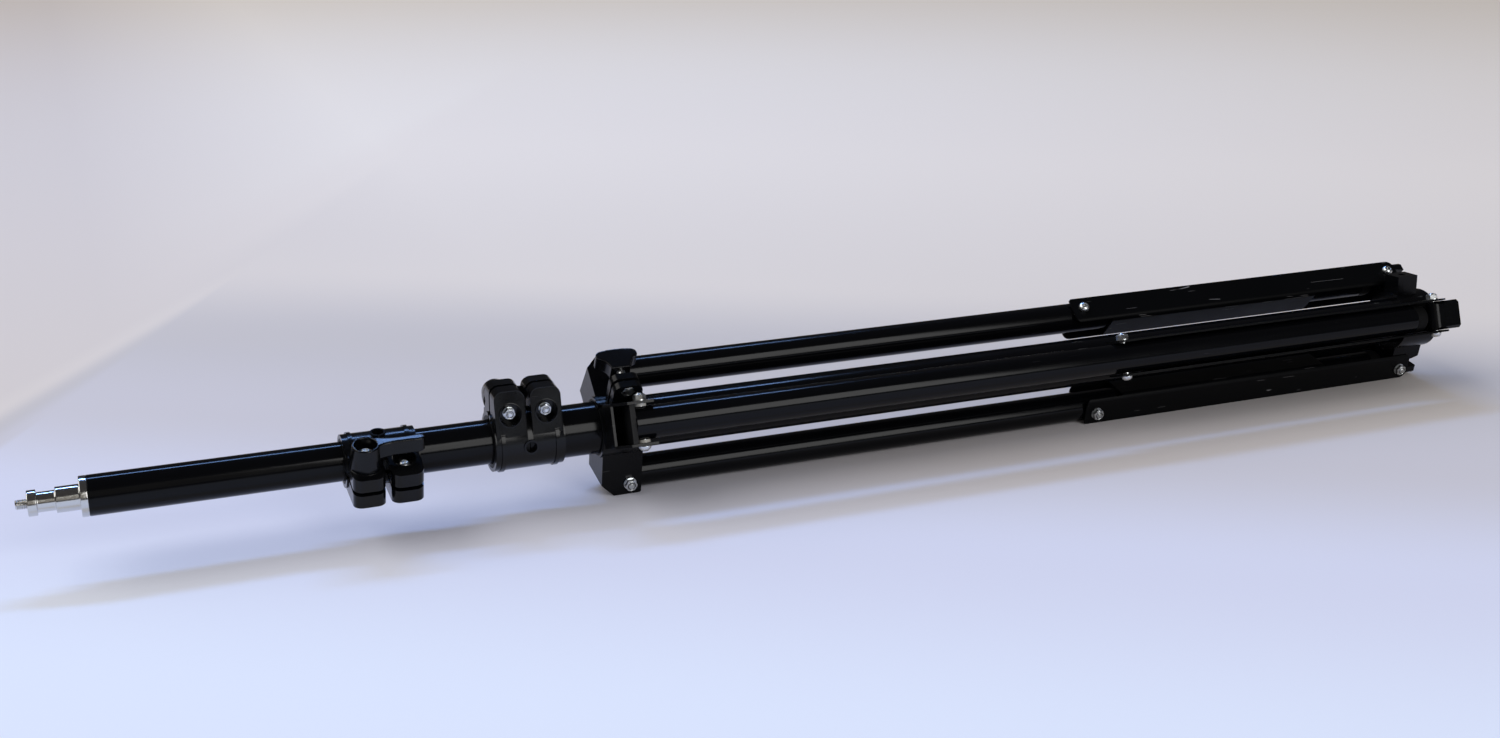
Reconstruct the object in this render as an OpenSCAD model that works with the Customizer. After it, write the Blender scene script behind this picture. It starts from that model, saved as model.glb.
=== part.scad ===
// Folding light stand, stored folded and lying on one leg.
// X runs along the column towards the foot hub, Z is up, and the near side is -Y.

/* [Column tubes] */
// Outer diameter of the lower tube
lower_od = 35; // [33:0.5:38]
// Outer diameter of the middle tube
middle_od = 29.4; // [28:0.2:30.4]
// Outer diameter of the top tube
top_od = 25.4; // [22:0.2:26]
// Wall of the column tubes
column_wall = 1.3; // [1:0.1:1.6]
// Length of the top tube that shows beyond the upper clamp
top_show = 152; // [120:1:200]
// Distance between the middles of the two clamps
clamp_pitch = 95.3; // [80:0.5:140]
// Distance from the middle of the lower clamp to the leg pivots
clamp_to_pivot = 70.4; // [64:0.2:120]
// Room between a sliding tube's end and what stops it below
tube_step_back = 4; // [2:1:30]
// Length of the guide bush on a sliding tube's lower end
bush_len = 30; // [20:1:45]
// Depth of a guide bush's plug inside its tube
bush_plug = 6; // [4:1:12]
// Radial clearance of a sliding bush in its tube
bush_gap = 0.1; // [0.05:0.01:0.2]
// Wall of the plug part of a guide bush
bush_wall = 2; // [1.5:0.1:3]
// Thickness of the lip that a bush or plug rests on its tube with
lip_t = 2; // [1:0.5:3]

/* [Spigot] */
// Diameter of the spigot
spigot_d = 16; // [15.8:0.1:16.2]
// Length of the spigot's cylinder
spigot_len = 13.8; // [12:0.1:30]
// Diameter of the spigot's neck
neck_d = 12.4; // [10:0.1:13]
// Length of the spigot's neck
neck_len = 10.5; // [6:0.1:14]
// Length of the disc at the end of the spigot
disc_len = 5.4; // [4:0.1:8]
// Thickness of the flange that covers the top tube's end
flange_t = 4.4; // [3:0.1:8]
// Depth of the spigot's plug in the top tube
plug_depth = 30; // [20:1:50]
// Diameter of the stud
stud_d = 6.35; // [6:0.05:9.5]
// Length of the stud that shows
stud_len = 6.7; // [6:0.1:14]
// Depth of the stud in the spigot
stud_depth = 14; // [8:1:20]
// Step from the stud's thread down to its shank in the spigot
stud_step = 0.4; // [0.2:0.1:0.8]
// Edge chamfer of turned parts
turned_chamfer = 0.6; // [0.3:0.1:1]

/* [Tube clamps] */
// Wall of a clamp's sleeve
clamp_wall = 2.5; // [2:0.1:4]
// Length of a clamp's sleeve
clamp_len = 46.4; // [44:0.2:60]
// Width of a clamp's lug along the column
lug_w = 20.4; // [18:0.2:22]
// Distance between a clamp's two bolts
bolt_pitch = 24; // [23:0.5:28]
// Thickness of a lug from its slit
lug_t = 10.6; // [9:0.1:13]
// Reach of a lug beyond its bolt
lug_over = 15.5; // [12:0.5:18]
// Width of the slit
slit_w = 2.8; // [1.6:0.1:4]
// Radius of a lug's outer corners
lug_corner = 6; // [3:0.5:8]
// Distance of the lower clamp's bolts from the column's axis
lower_bolt_r = 23.1; // [22.4:0.1:26]
// Distance of the upper clamp's bolts from the column's axis
upper_bolt_r = 22; // [19.6:0.1:24]
// Diameter of the round recess that a nut or knob sits in
recess_d = 14.4; // [13.5:0.1:15]
// Height of a nut seat above the slit's middle
nut_seat_h = 9; // [7:0.5:10]
// Height of the fixed bolt's head seat above the slit's middle
head_seat_h = 6.4; // [5:0.2:9]
// Least wall that a recess or a knob's room leaves over a clamp's bore
clamp_skin = 0.7; // [0.5:0.1:1.2]
// Height of the raised rings on a sleeve
ring_h = 0.9; // [0.5:0.1:1.5]
// Width of the raised rings on a sleeve
ring_w = 2.6; // [1.5:0.1:4]
// Diameter of the round hole in a sleeve's side
side_hole_d = 7.4; // [5:0.1:9]
// Direction of the side hole on the knob's side from a clamp's lugs
knob_hole_a = 97; // [84:1:100]
// Direction of the side hole on the nuts' side from a clamp's lugs
nut_hole_a = 86; // [84:1:100]
// Radial clearance of a liner
liner_gap = 0.1; // [0.05:0.01:0.2]
// Clearance between the liner and the tube's end
liner_end_gap = 0.3; // [0.1:0.1:1]
// Direction of the upper clamp's lugs about the column
upper_lug_a = -16; // [-30:1:0]
// Direction of the lower clamp's lugs about the column
lower_lug_a = 86; // [70:1:100]

/* [Bolts] */
// Diameter of the bolts
bolt_d = 5; // [4.5:0.5:6]
// Width across flats of nuts and bolt heads
nut_af = 8; // [7:0.5:10]
// Height of a nut
nut_h = 4; // [3.8:0.1:5]
// Height of a bolt head
head_h = 3.4; // [3:0.1:5]
// Length of thread that shows beyond a nut
thread_out = 1.2; // [0.6:0.1:3]
// Radial clearance of a bolt that something turns on
pin_gap = 0.08; // [0.04:0.01:0.1]
// Radial clearance of a bolt in a fixed hole
bolt_gap = 0.15; // [0.1:0.05:0.3]

/* [Knobs] */
// Diameter of a wing knob's boss at its base
boss_base_d = 22; // [20:0.5:23]
// Diameter of a wing knob's boss at its top
boss_top_d = 17.6; // [15:0.2:18]
// Diameter of the foot that a wing knob stands on its lug with
boss_foot_d = 16.4; // [14:0.2:16.8]
// Room between a turning wing and the rings on its clamp's sleeve, over the rim of the side hole too
wing_clear = 0.7; // [0.7:0.1:2]
// Height of the wing itself
wing_h = 8.5; // [8.5:0.5:14]
// Reach of the wing from the bolt
wing_len = 37; // [30:0.5:40]
// Thickness of the wing
wing_t = 9; // [7:0.5:11]
// Diameter of the hollow in a wing knob's boss
boss_hole_d = 12.6; // [12:0.2:13]
// Depth of the hollow in a wing knob's boss
boss_hole_h = 8; // [6:0.5:10]
// Number of grip grooves on each side of a wing
groove_count = 7; // [4:1:10]
// Distance between a wing's grip grooves
groove_pitch = 1.8; // [1.6:0.1:2.2]
// Radius of a grip groove
groove_r = 0.6; // [0.4:0.1:0.7]
// Width across the top of the T-knob
t_knob_w = 28.6; // [24:0.2:29]
// Height of the T-knob
t_knob_h = 17.2; // [16:0.2:18]
// Height of the hollows in the T-knob's sides
t_knob_hollow = 11; // [9:0.5:12]
// Corner cut at the T-knob's top
t_knob_corner = 4.5; // [4:0.1:5]
// Thickness of the T-knob
t_knob_t = 10; // [8:0.5:12]
// Width of the T-knob's foot
t_knob_foot = 13; // [11:0.5:15]
// Length of screw that shows under the T-knob
t_stem = 6; // [5:0.5:6.5]
// Height of the knurled step on the T-knob's screw
stem_step = 0.7; // [0.4:0.1:1.5]
// Depth of the T-knob's screw in the knob
t_screw_in = 12; // [8:0.5:14]

/* [Leg collar] */
// Thickness of the leg collar's plates
plate_t = 1.8; // [1.6:0.1:2.5]
// Distance of the collar's web from the leg pivots
web_x = 20; // [19:0.5:26]
// Reach of the collar's plates beyond the leg pivots
plate_over = 8.2; // [7.5:0.1:12]
// Running clearance of the leg collar's liner on the lower tube
collar_gap = 0.2; // [0.1:0.05:0.4]
// Wall of the leg collar's liner
liner_wall = 1.2; // [1:0.1:2]
// Wall of the leg collar's sleeve
sleeve_wall = 1.6; // [1.2:0.1:3]
// Length of the leg collar's sleeve
sleeve_len = 34; // [30:1:60]
// Reach of the sleeve beyond the collar's web
sleeve_out = 1.5; // [0.5:0.5:6]
// Width of the slit between the collar's ears
ear_slit = 2.2; // [1.6:0.1:2.4]
// Cut of a collar plate's outer back corner
plate_cut = 9; // [6:0.5:11]
// Cut of a collar plate's outer front corner
plate_small_cut = 1; // [0.5:0.1:3]
// Direction of the collar's clamp ears about the column
ear_a = 61; // [58:1:64]
// Distance of the clamp screw from the column's axis
ear_bolt_r = 38; // [37.6:0.1:40]
// Width of the clamp ears along the column
ear_w = 20; // [16:0.5:24]
// Thickness of a clamp ear
ear_t = 5; // [4.6:0.1:6]
// Depth of the nut's pocket in the lower ear
pocket_h = 3.6; // [3:0.1:4]
// Reach of an ear beyond the screw
ear_over = 6; // [5.5:0.1:8]
// Place of the clamp screw along the column, back from the leg pivots
ear_back = 5; // [2:0.5:8]
// Room for a spacer between a leg's tube and a collar plate
spacer_t = 2; // [1.5:0.1:3]
// Diameter of the spacers beside a leg's tube
spacer_d = 13; // [11:0.5:14]

/* [Legs and braces] */
// Radius of the leg axes and of all leg and brace bolts about the column
leg_r = 38.64; // [38:0.1:42]
// Outer diameter of the leg tubes
leg_od = 22; // [20:0.2:22.6]
// Wall of the leg tubes
leg_wall = 1.2; // [1:0.1:1.8]
// Distance from a leg's pivot to its brace bolt
leg_to_brace = 370; // [330:1:420]
// Distance between a brace's two bolts
brace_len = 286; // [270:1:310]
// Distance from a folded leg's foot to its hub bolt
foot_back = 12.7; // [11:0.1:30]
// Distance from a leg's pivot back to its tube's end
leg_over = 6.6; // [6:0.1:8]
// Thickness of the shoulder on a leg's top plug
shoulder_t = 3.6; // [2:0.1:4]
// Side clearance of the shoulder in the collar
shoulder_gap = 0.3; // [0.2:0.1:1]
// Drop of the shoulder's edges below the tube's outside
shoulder_low = 1.5; // [1.5:0.1:3]
// Length of a leg's top plug inside its tube
top_plug_len = 26; // [15:1:40]
// Length of the foot that shows
foot_len = 12; // [8:0.5:20]
// Length of the foot's plug inside its tube
foot_plug_len = 22; // [12:1:40]
// Sheet thickness of a brace
brace_t = 1.3; // [1:0.1:1.6]
// Side clearance between a brace and its leg
brace_gap = 0.7; // [0.4:0.1:1]
// Reach of a brace's flanges outside the leg's axis
flange_out = 8.7; // [7.5:0.1:9.5]
// Room between a leg's tube and its brace's web
web_gap = 0.3; // [0.2:0.1:1]
// Outside radius of a brace's bends
bend_r = 4; // [2:0.1:5]
// Reach of a brace's flanges beyond the leg's bolt
brace_over = 9.6; // [7:0.1:12]
// Reach of a brace's flanges beyond the hub's bolt
brace_over_hub = 9; // [7:0.1:10]
// Length of web cut away at the leg's bolt
web_cut_leg = 22; // [18:1:40]
// Length of web cut away at the hub's bolt
web_cut_hub = 76; // [74:1:90]
// Corner radius of a flange's ends
end_r = 6.5; // [3:0.5:7]

/* [Hub] */
// Outer diameter of the hub's ring
hub_od = 46; // [41:0.5:47]
// Length of the hub's ring
hub_len = 32; // [26:1:40]
// Distance from the hub's bolts to its lower end
hub_over = 18.8; // [16:0.2:24]
// Side clearance between an arm and its brace
arm_gap = 0.6; // [0.4:0.1:1.5]
// Reach of an arm outside its bolt
arm_out = 7.6; // [6.5:0.1:8]
// Reach of an arm before its bolt
arm_back = 7.6; // [6:0.1:8]
// Side of the diamond that cuts an arm's outer edges
arm_cut = 3; // [1:0.5:4]
// Clearance round the bolt in an arm's hook
hook_gap = 0.3; // [0.2:0.1:0.6]
// Inward slope of the hook's outer jaw
hook_a_out = 8; // [7:0.5:8]
// Inward slope of the hook's inner jaw
hook_a_in = 17; // [17:0.5:20]
// Height of the block beside the hub's top arm
block_h = 14; // [8:0.5:16]
// Width of the block beside the hub's top arm
block_w = 15; // [10:0.5:18]
// Length of the block beside the hub's top arm
block_l = 19; // [14:0.5:24]
// Direction of the block about the column
block_a = 93; // [85:1:100]
// Distance of the block from the hub ring's upper end
block_in = 2; // [0:0.5:6]
// Diameter of the hole in the block
block_hole_d = 5; // [4:0.5:6]
// Depth of the screw below the block's outer face
screw_low = 3; // [1:0.5:6]
// Thickness of the cap in the lower tube's end
cap_t = 3; // [2:0.5:6]
// Depth of the cap in the lower tube
cap_depth = 6; // [4:0.5:7]

/* [Hidden] */
$fn = 96;

// Overshoot of a cutter beyond the face that it cuts
over = 1;
// Places along the column, from the leg pivots of the folded stand
lower_clamp_x = -clamp_to_pivot;
upper_clamp_x = lower_clamp_x - clamp_pitch;
hub_bolt_x = leg_to_brace + brace_len;
hub_end_x = hub_bolt_x + hub_over;
lower_end_x = hub_end_x - cap_t;
middle_end_x = lower_end_x - cap_depth - lip_t - tube_step_back;
top_end_x = middle_end_x - bush_plug - tube_step_back - lip_t;
top_start_x = upper_clamp_x - clamp_len / 2 - top_show;
tip_x = top_start_x - flange_t - spigot_len - neck_len - disc_len - stud_len;
foot_x = hub_bolt_x - foot_back;
// Brace section
brace_half = leg_od / 2 + brace_gap + brace_t;
web_in = leg_od / 2 + web_gap + brace_t;
arm_half = leg_od / 2 + brace_gap - arm_gap;
// The folded stand lies on its low leg's tube and on the near edge of that leg's brace
edge_reach = norm([brace_half, flange_out]);
roll = atan2(brace_half, flange_out) - acos(leg_od / 2 / edge_reach);
axis_z = leg_r * cos(roll) + leg_od / 2;
near_a = 30 - roll;
top_a = near_a + 120;
low_a = near_a - 120;
// Leg collar: its plates' outer edge comes down to the floor with the brace's edge
plate_in = leg_od / 2 + spacer_t;
plate_half = plate_in + plate_t;
plate_r = (axis_z - plate_half * sin(roll)) / cos(roll);
collar_bore = lower_od / 2 + collar_gap + liner_wall + liner_gap;
sleeve_r = collar_bore + sleeve_wall;
sleeve_x = -web_x - sleeve_out;
// The box's middle, so that the origin lies under it
edge_r = leg_r + flange_out;
y_near = edge_r * cos(near_a) + brace_half * sin(near_a);
y_far = edge_r * -cos(top_a) + brace_half * sin(top_a);
axis_y = (y_near - y_far) / 2;
axis_x = -(tip_x + hub_end_x) / 2;

// Moves the column's frame into the stand's frame
module stand() translate([axis_x, axis_y, axis_z]) children();

// Turns a piece drawn with +Z outwards to the direction a about the column
module at(a) rotate([90 - a, 0, 0]) children();

// A leg's own frame: X along the leg, Z outwards from the leg's axis
module at_leg(a) stand() at(a) translate([0, 0, leg_r]) children();

module ring(x, len, r_out, r_in) {
    translate([x, 0, 0]) rotate([0, 90, 0]) difference() {
        cylinder(h = len, r = r_out);
        translate([0, 0, -over]) cylinder(h = len + 2 * over, r = r_in);
    }
}

module rod(x, len, r) translate([x, 0, 0]) rotate([0, 90, 0]) cylinder(h = len, r = r);

// A rod across the leg or lug, from y0 to y1
module cross_rod(y0, y1, r) translate([0, y1, 0]) rotate([90, 0, 0]) cylinder(h = y1 - y0, r = r);

module cross_hex(y0, y1, af) {
    translate([0, y1, 0]) rotate([90, 0, 0]) cylinder(h = y1 - y0, r = af / 2 / cos(30), $fn = 6);
}

// Draws a profile given along the column and outwards, thick across
module across(y0, y1) translate([0, y1, 0]) rotate([90, 0, 0]) linear_extrude(y1 - y0) children();

// Draws a profile given across and outwards, long along the column
module along(x0, x1) translate([x0, 0, 0]) rotate([90, 0, 90]) linear_extrude(x1 - x0) children();

// A rectangle whose corners at the high y end are rounded
module round_top(x0, x1, y0, y1, r) {
    translate([x0, y0]) square([x1 - x0, y1 - y0 - r]);
    translate([x0 + r, y0]) square([x1 - x0 - 2 * r, y1 - y0]);
    translate([x0 + r, y1 - r]) circle(r);
    translate([x1 - r, y1 - r]) circle(r);
}

// Column tubes

module lower_tube() {
    r = lower_od / 2;
    color("#101114") stand() ring(lower_clamp_x, lower_end_x - lower_clamp_x, r, r - column_wall);
}

module middle_tube() {
    r = middle_od / 2;
    color("#101114") stand() ring(upper_clamp_x, middle_end_x - upper_clamp_x, r, r - column_wall);
}

module top_tube() {
    r = top_od / 2;
    color("#101114") stand() ring(top_start_x, top_end_x - top_start_x, r, r - column_wall);
}

// A bush on the lower end of a sliding tube: a short plug inside it and a sleeve that runs in the outer tube
module guide_bush(end_x, od, outer_od) {
    r_in = od / 2 - column_wall;
    r_run = outer_od / 2 - column_wall - bush_gap;
    stand() {
        ring(end_x - bush_plug, bush_plug, r_in, r_in - bush_wall);
        ring(end_x, lip_t, r_run, r_in - bush_wall);
        ring(end_x - bush_len, bush_len, r_run, od / 2);
    }
}

module middle_tube_bush() color("#1b1b1d") guide_bush(middle_end_x, middle_od, lower_od);

module top_tube_bush() color("#1b1b1d") guide_bush(top_end_x, top_od, middle_od);

// Spigot

module chamfered(x, len, r) {
    c = turned_chamfer;
    translate([x, 0, 0]) rotate([0, 90, 0]) rotate_extrude()
        polygon([[0, 0], [r - c, 0], [r, c], [r, len - c], [r - c, len], [0, len]]);
}

module spigot() {
    body_x = top_start_x - flange_t - spigot_len;
    neck_x = body_x - neck_len;
    disc_x = neck_x - disc_len;
    color("#c9c9c6") stand() difference() {
        union() {
            chamfered(top_start_x - flange_t, flange_t, top_od / 2);
            rod(top_start_x - turned_chamfer, plug_depth, top_od / 2 - column_wall);
            chamfered(body_x, spigot_len + turned_chamfer, spigot_d / 2);
            rod(neck_x - turned_chamfer, neck_len + 2 * turned_chamfer, neck_d / 2);
            chamfered(disc_x, disc_len, spigot_d / 2);
        }
        rod(disc_x - over, stud_depth + over, stud_d / 2 - stud_step + bolt_gap);
    }
}

module spigot_stud() {
    r = stud_d / 2;
    c = turned_chamfer;
    shank = r - stud_step;
    len = stud_len + stud_depth;
    color("#b9b9b4") stand() translate([tip_x, 0, 0]) rotate([0, 90, 0]) rotate_extrude()
        polygon([[0, 0], [r - c, 0], [r, c], [r, stud_len], [shank, stud_len], [shank, len], [0, len]]);
}

// Tube clamps

// Heights above the slit's middle, of a clamp's nut seats, of its fixed bolt's head seat, and of the widest
// part of its knob's boss
function skin_y(od, low) = sqrt(max(0, pow(od / 2 + clamp_skin, 2) - low * low));
function nut_seat(od, bolt_r) = max(nut_seat_h, skin_y(od, bolt_r - recess_d / 2));
function head_seat(od, bolt_r) = max(head_seat_h, skin_y(od, bolt_r - recess_d / 2));
function boss_low(od, bolt_r) = max(lug_t, skin_y(od, bolt_r - boss_base_d / 2 - bolt_gap));

// A clamp's section: its sleeve and the lugs that leave it on both sides of the slit
module clamp_section(r, lug_end) {
    touch_a = atan2(lug_end, lug_t) - acos(r / norm([lug_end, lug_t]));
    touch = r * [cos(touch_a), sin(touch_a)];
    circle(r);
    polygon([[0, 0], touch, [lug_t, lug_end], [-lug_t, lug_end], [-touch.x, touch.y]]);
}

module clamp(x, od, bolt_r, lug_a) {
    bore = od / 2;
    r = bore + clamp_wall;
    lug_end = bolt_r + lug_over;
    hole_angles = [-knob_hole_a, nut_hole_a];
    half = clamp_len / 2;
    stand() at(lug_a) translate([x, 0, 0]) difference() {
        union() {
            rod(-half, clamp_len, r);
            for (side = [-1, 1]) rod(side * (half - 2 * ring_w) - ring_w / 2, ring_w, r + ring_h);
            intersection() {
                along(-half, half) clamp_section(r, lug_end);
                for (side = [-1, 1]) translate([side * bolt_pitch / 2, 0, 0]) across(-2 * r, 2 * r)
                    round_top(-lug_w / 2, lug_w / 2, 0, lug_end, lug_corner);
            }
            for (a = hole_angles) rotate([a, 0, 0]) translate([0, 0, bore])
                cylinder(h = clamp_wall + ring_h, r = side_hole_d / 2 + ring_w / 2);
        }
        rod(-half - over, clamp_len + 2 * over, bore);
        translate([-half - over, -slit_w / 2, 0]) cube([clamp_len + 2 * over, slit_w, lug_end + over]);
        for (side = [-1, 1]) translate([side * bolt_pitch / 2, 0, bolt_r]) {
            cross_rod(-2 * r, 2 * r, bolt_d / 2 + bolt_gap);
            cross_rod(-2 * r, -nut_seat(od, bolt_r), recess_d / 2);
        }
        translate([bolt_pitch / 2, 0, bolt_r]) cross_rod(head_seat(od, bolt_r), 2 * r, recess_d / 2);
        translate([-bolt_pitch / 2, 0, bolt_r]) {
            cross_rod(lug_t, 2 * r, boss_foot_d / 2 + bolt_gap);
            cross_rod(boss_low(od, bolt_r), 2 * r, boss_base_d / 2 + bolt_gap);
        }
        for (a = hole_angles) rotate([a, 0, 0]) cylinder(h = 2 * r, r = side_hole_d / 2);
    }
}

module lower_clamp() color("#17171a") clamp(lower_clamp_x, lower_od, lower_bolt_r, lower_lug_a);

module upper_clamp() color("#17171a") clamp(upper_clamp_x, middle_od, upper_bolt_r, upper_lug_a);

// The liner fills a clamp's free half round the tube that slides in it
module clamp_liner(x, od, inner_od, lug_a) {
    len = clamp_len / 2 - liner_end_gap;
    stand() at(lug_a) translate([x - clamp_len / 2, 0, 0]) difference() {
        ring(0, len, od / 2 - liner_gap / 2, inner_od / 2 + liner_gap);
        translate([-over, -slit_w / 2, 0]) cube([len + 2 * over, slit_w, od]);
    }
}

module lower_clamp_liner() color("#222225") clamp_liner(lower_clamp_x, lower_od, middle_od, lower_lug_a);

module upper_clamp_liner() color("#222225") clamp_liner(upper_clamp_x, middle_od, top_od, upper_lug_a);

// A clamp's two bolts: the wing knob turns on the first, and the second stays tight
module clamp_bolts(x, od, bolt_r, lug_a) {
    nut_end = -nut_seat(od, bolt_r) - nut_h - thread_out;
    knob_seat = wing_top(od) - boss_hole_h;
    seat = head_seat(od, bolt_r);
    stand() at(lug_a) translate([x, 0, bolt_r]) {
        translate([-bolt_pitch / 2, 0, 0]) {
            cross_rod(nut_end, knob_seat + head_h, bolt_d / 2);
            cross_rod(knob_seat + pin_gap, knob_seat + head_h, nut_af / 2);
        }
        translate([bolt_pitch / 2, 0, 0]) {
            cross_rod(nut_end, seat + head_h / 2, bolt_d / 2);
            cross_rod(seat, seat + head_h / 2, nut_af / 2);
            translate([0, seat + head_h / 2, 0]) rotate([-90, 0, 0])
                cylinder(h = head_h / 2, r1 = nut_af / 2, r2 = nut_af / 3);
        }
    }
}

module lower_clamp_bolts() color("#c4c6c4") clamp_bolts(lower_clamp_x, lower_od, lower_bolt_r, lower_lug_a);

module upper_clamp_bolts() color("#c4c6c4") clamp_bolts(upper_clamp_x, middle_od, upper_bolt_r, upper_lug_a);

module nut(y0, y1) difference() {
    cross_hex(y0, y1, nut_af);
    cross_rod(y0 - over, y1 + over, bolt_d / 2);
}

module clamp_nuts(x, od, bolt_r, lug_a) {
    seat = nut_seat(od, bolt_r);
    stand() at(lug_a) translate([x, 0, bolt_r])
        for (side = [-1, 1]) translate([side * bolt_pitch / 2, 0, 0]) nut(-seat - nut_h, -seat);
}

module lower_clamp_nuts() color("#c4c6c4") clamp_nuts(lower_clamp_x, lower_od, lower_bolt_r, lower_lug_a);

module upper_clamp_nuts() color("#c4c6c4") clamp_nuts(upper_clamp_x, middle_od, upper_bolt_r, upper_lug_a);

// Heights of a wing knob above the slit's middle
function wing_low(od) = od / 2 + clamp_wall + ring_h + wing_clear;
function wing_top(od) = wing_low(od) + wing_h;

module wing_knob(x, od, bolt_r, lug_a) {
    low = wing_low(od);
    top = wing_top(od);
    wide = boss_low(od, bolt_r);
    stand() at(lug_a) translate([x - bolt_pitch / 2, 0, bolt_r]) difference() {
        union() {
            cross_rod(lug_t, wide + over, boss_foot_d / 2);
            translate([0, wide, 0]) rotate([-90, 0, 0])
                cylinder(h = top - wide, r1 = boss_base_d / 2, r2 = boss_top_d / 2);
            translate([0, low, 0]) rotate([-90, 0, 0]) linear_extrude(wing_h) difference() {
                union() {
                    translate([0, -wing_t / 2]) square([wing_len - wing_t / 2, wing_t]);
                    translate([wing_len - wing_t / 2, 0]) circle(wing_t / 2);
                }
                for (i = [0 : groove_count - 1], side = [-1, 1])
                    translate([wing_len - wing_t - i * groove_pitch, side * wing_t / 2]) circle(groove_r);
            }
        }
        cross_rod(0, top + over, bolt_d / 2 + pin_gap);
        cross_rod(top - boss_hole_h, top + over, boss_hole_d / 2);
    }
}

module lower_wing_knob() color("#17171a") wing_knob(lower_clamp_x, lower_od, lower_bolt_r, lower_lug_a);

module upper_wing_knob() color("#17171a") wing_knob(upper_clamp_x, middle_od, upper_bolt_r, upper_lug_a);

// Leg collar

// One plate beside a leg: square at the hub's end, cut at its outer back corner
module plate_outline() {
    x0 = -web_x;
    x1 = plate_over;
    z0 = -leg_r + sleeve_r / 2;
    z1 = plate_r - leg_r;
    polygon([
        [x0, z0], [x1, z0], [x1, z1 - plate_small_cut], [x1 - plate_small_cut, z1],
        [x0 + plate_cut, z1], [x0, z1 - plate_cut]
    ]);
}

module leg_bracket() {
    for (side = [-1, 1]) {
        y0 = side > 0 ? plate_in : -plate_half;
        across(y0, y0 + plate_t) plate_outline();
    }
    z0 = -leg_r + sleeve_r / 2;
    z1 = plate_r - leg_r - plate_cut;
    translate([-web_x, -plate_half, z0]) cube([plate_t, 2 * plate_half, z1 - z0]);
}

module leg_collar() {
    r = sleeve_r;
    slit_len = sleeve_len + 2 * over;
    bolt_r = bolt_d / 2;
    ear_y = ear_t + ear_slit / 2;
    color("#17171a") stand() difference() {
        union() {
            rod(sleeve_x, sleeve_len, r);
            for (a = [near_a, top_a, low_a]) at(a) translate([0, 0, leg_r]) leg_bracket();
            at(ear_a) across(-ear_y, ear_y)
                round_top(-ear_back - ear_w / 2, -ear_back + ear_w / 2, 0, ear_bolt_r + ear_over, lug_corner);
        }
        rod(sleeve_x - over, slit_len, collar_bore);
        at(ear_a) translate([sleeve_x - over, -ear_slit / 2, 0]) cube([slit_len, ear_slit, 2 * ear_bolt_r]);
        at(ear_a) translate([-ear_back, 0, ear_bolt_r]) {
            cross_rod(-ear_y - over, ear_y + over, bolt_r + pin_gap);
            cross_hex(-ear_y - over, pocket_h - ear_y, nut_af + bolt_gap);
        }
        for (a = [near_a, top_a, low_a]) at(a) translate([0, 0, leg_r])
            cross_rod(-plate_half - over, plate_half + over, bolt_r + bolt_gap);
    }
}

module leg_collar_liner() {
    bore = lower_od / 2 + collar_gap;
    color("#222225") stand() at(ear_a) difference() {
        ring(sleeve_x, sleeve_len, collar_bore - liner_gap, bore);
        translate([sleeve_x - over, -ear_slit / 2, 0]) cube([sleeve_len + 2 * over, ear_slit, 2 * bore]);
    }
}

module leg_collar_nut() {
    y0 = -ear_slit / 2 - ear_t;
    color("#c4c6c4") stand() at(ear_a) translate([-ear_back, 0, ear_bolt_r]) difference() {
        cross_hex(y0, y0 + pocket_h, nut_af);
        cross_rod(y0 - over, y0 + nut_h, bolt_d / 2 + pin_gap);
    }
}

// The T-knob's outline: a wide top with cut corners and round hollow sides that run down to its foot
module t_knob_outline() {
    half = t_knob_w / 2;
    foot = t_knob_foot / 2;
    c = t_knob_corner;
    hollow_x = (half * half + t_knob_hollow * t_knob_hollow - foot * foot) / 2 / (half - foot);
    difference() {
        polygon([
            [-half, 0], [half, 0], [half, t_knob_h - c],
            [half - c, t_knob_h], [c - half, t_knob_h], [-half, t_knob_h - c]
        ]);
        for (side = [-1, 1]) translate([side * hollow_x, 0]) circle(hollow_x - foot);
    }
}

module t_knob() {
    y0 = ear_slit / 2 + ear_t + t_stem;
    color("#17171a") stand() at(ear_a) translate([-ear_back, y0, ear_bolt_r]) difference() {
        translate([0, 0, -t_knob_t / 2]) linear_extrude(t_knob_t) t_knob_outline();
        cross_rod(-over, t_screw_in, bolt_d / 2);
    }
}

module t_knob_screw() {
    y0 = ear_slit / 2 + ear_t;
    color("#c4c6c4") stand() at(ear_a) translate([-ear_back, 0, ear_bolt_r]) {
        cross_rod(-y0, y0 + t_stem + t_screw_in, bolt_d / 2);
        cross_rod(y0 + thread_out, y0 + t_stem, bolt_d / 2 + stem_step);
    }
}

// Leg hardware

// A bolt across a leg, with its head at -Y and its nut at +Y
module cross_bolt(x, half) {
    r = bolt_d / 2;
    translate([x, 0, 0]) {
        cross_rod(-half - head_h / 2, half + nut_h + thread_out, r);
        cross_hex(-half - head_h, -half, nut_af);
        cross_hex(half, half + nut_h, nut_af);
    }
}

module pivot_bolt(a) color("#c4c6c4") at_leg(a) cross_bolt(0, plate_half);

module leg_pivot_bolt_near() pivot_bolt(near_a);

module leg_pivot_bolt_top() pivot_bolt(top_a);

module leg_pivot_bolt_low() pivot_bolt(low_a);

module brace_bolt(a) color("#c4c6c4") at_leg(a) cross_bolt(leg_to_brace, brace_half);

module brace_bolt_near() brace_bolt(near_a);

module brace_bolt_top() brace_bolt(top_a);

module brace_bolt_low() brace_bolt(low_a);

module hub_bolt(a) color("#c4c6c4") at_leg(a) cross_bolt(hub_bolt_x, brace_half);

module hub_bolt_near() hub_bolt(near_a);

module hub_bolt_top() hub_bolt(top_a);

module hub_bolt_low() hub_bolt(low_a);

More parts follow.
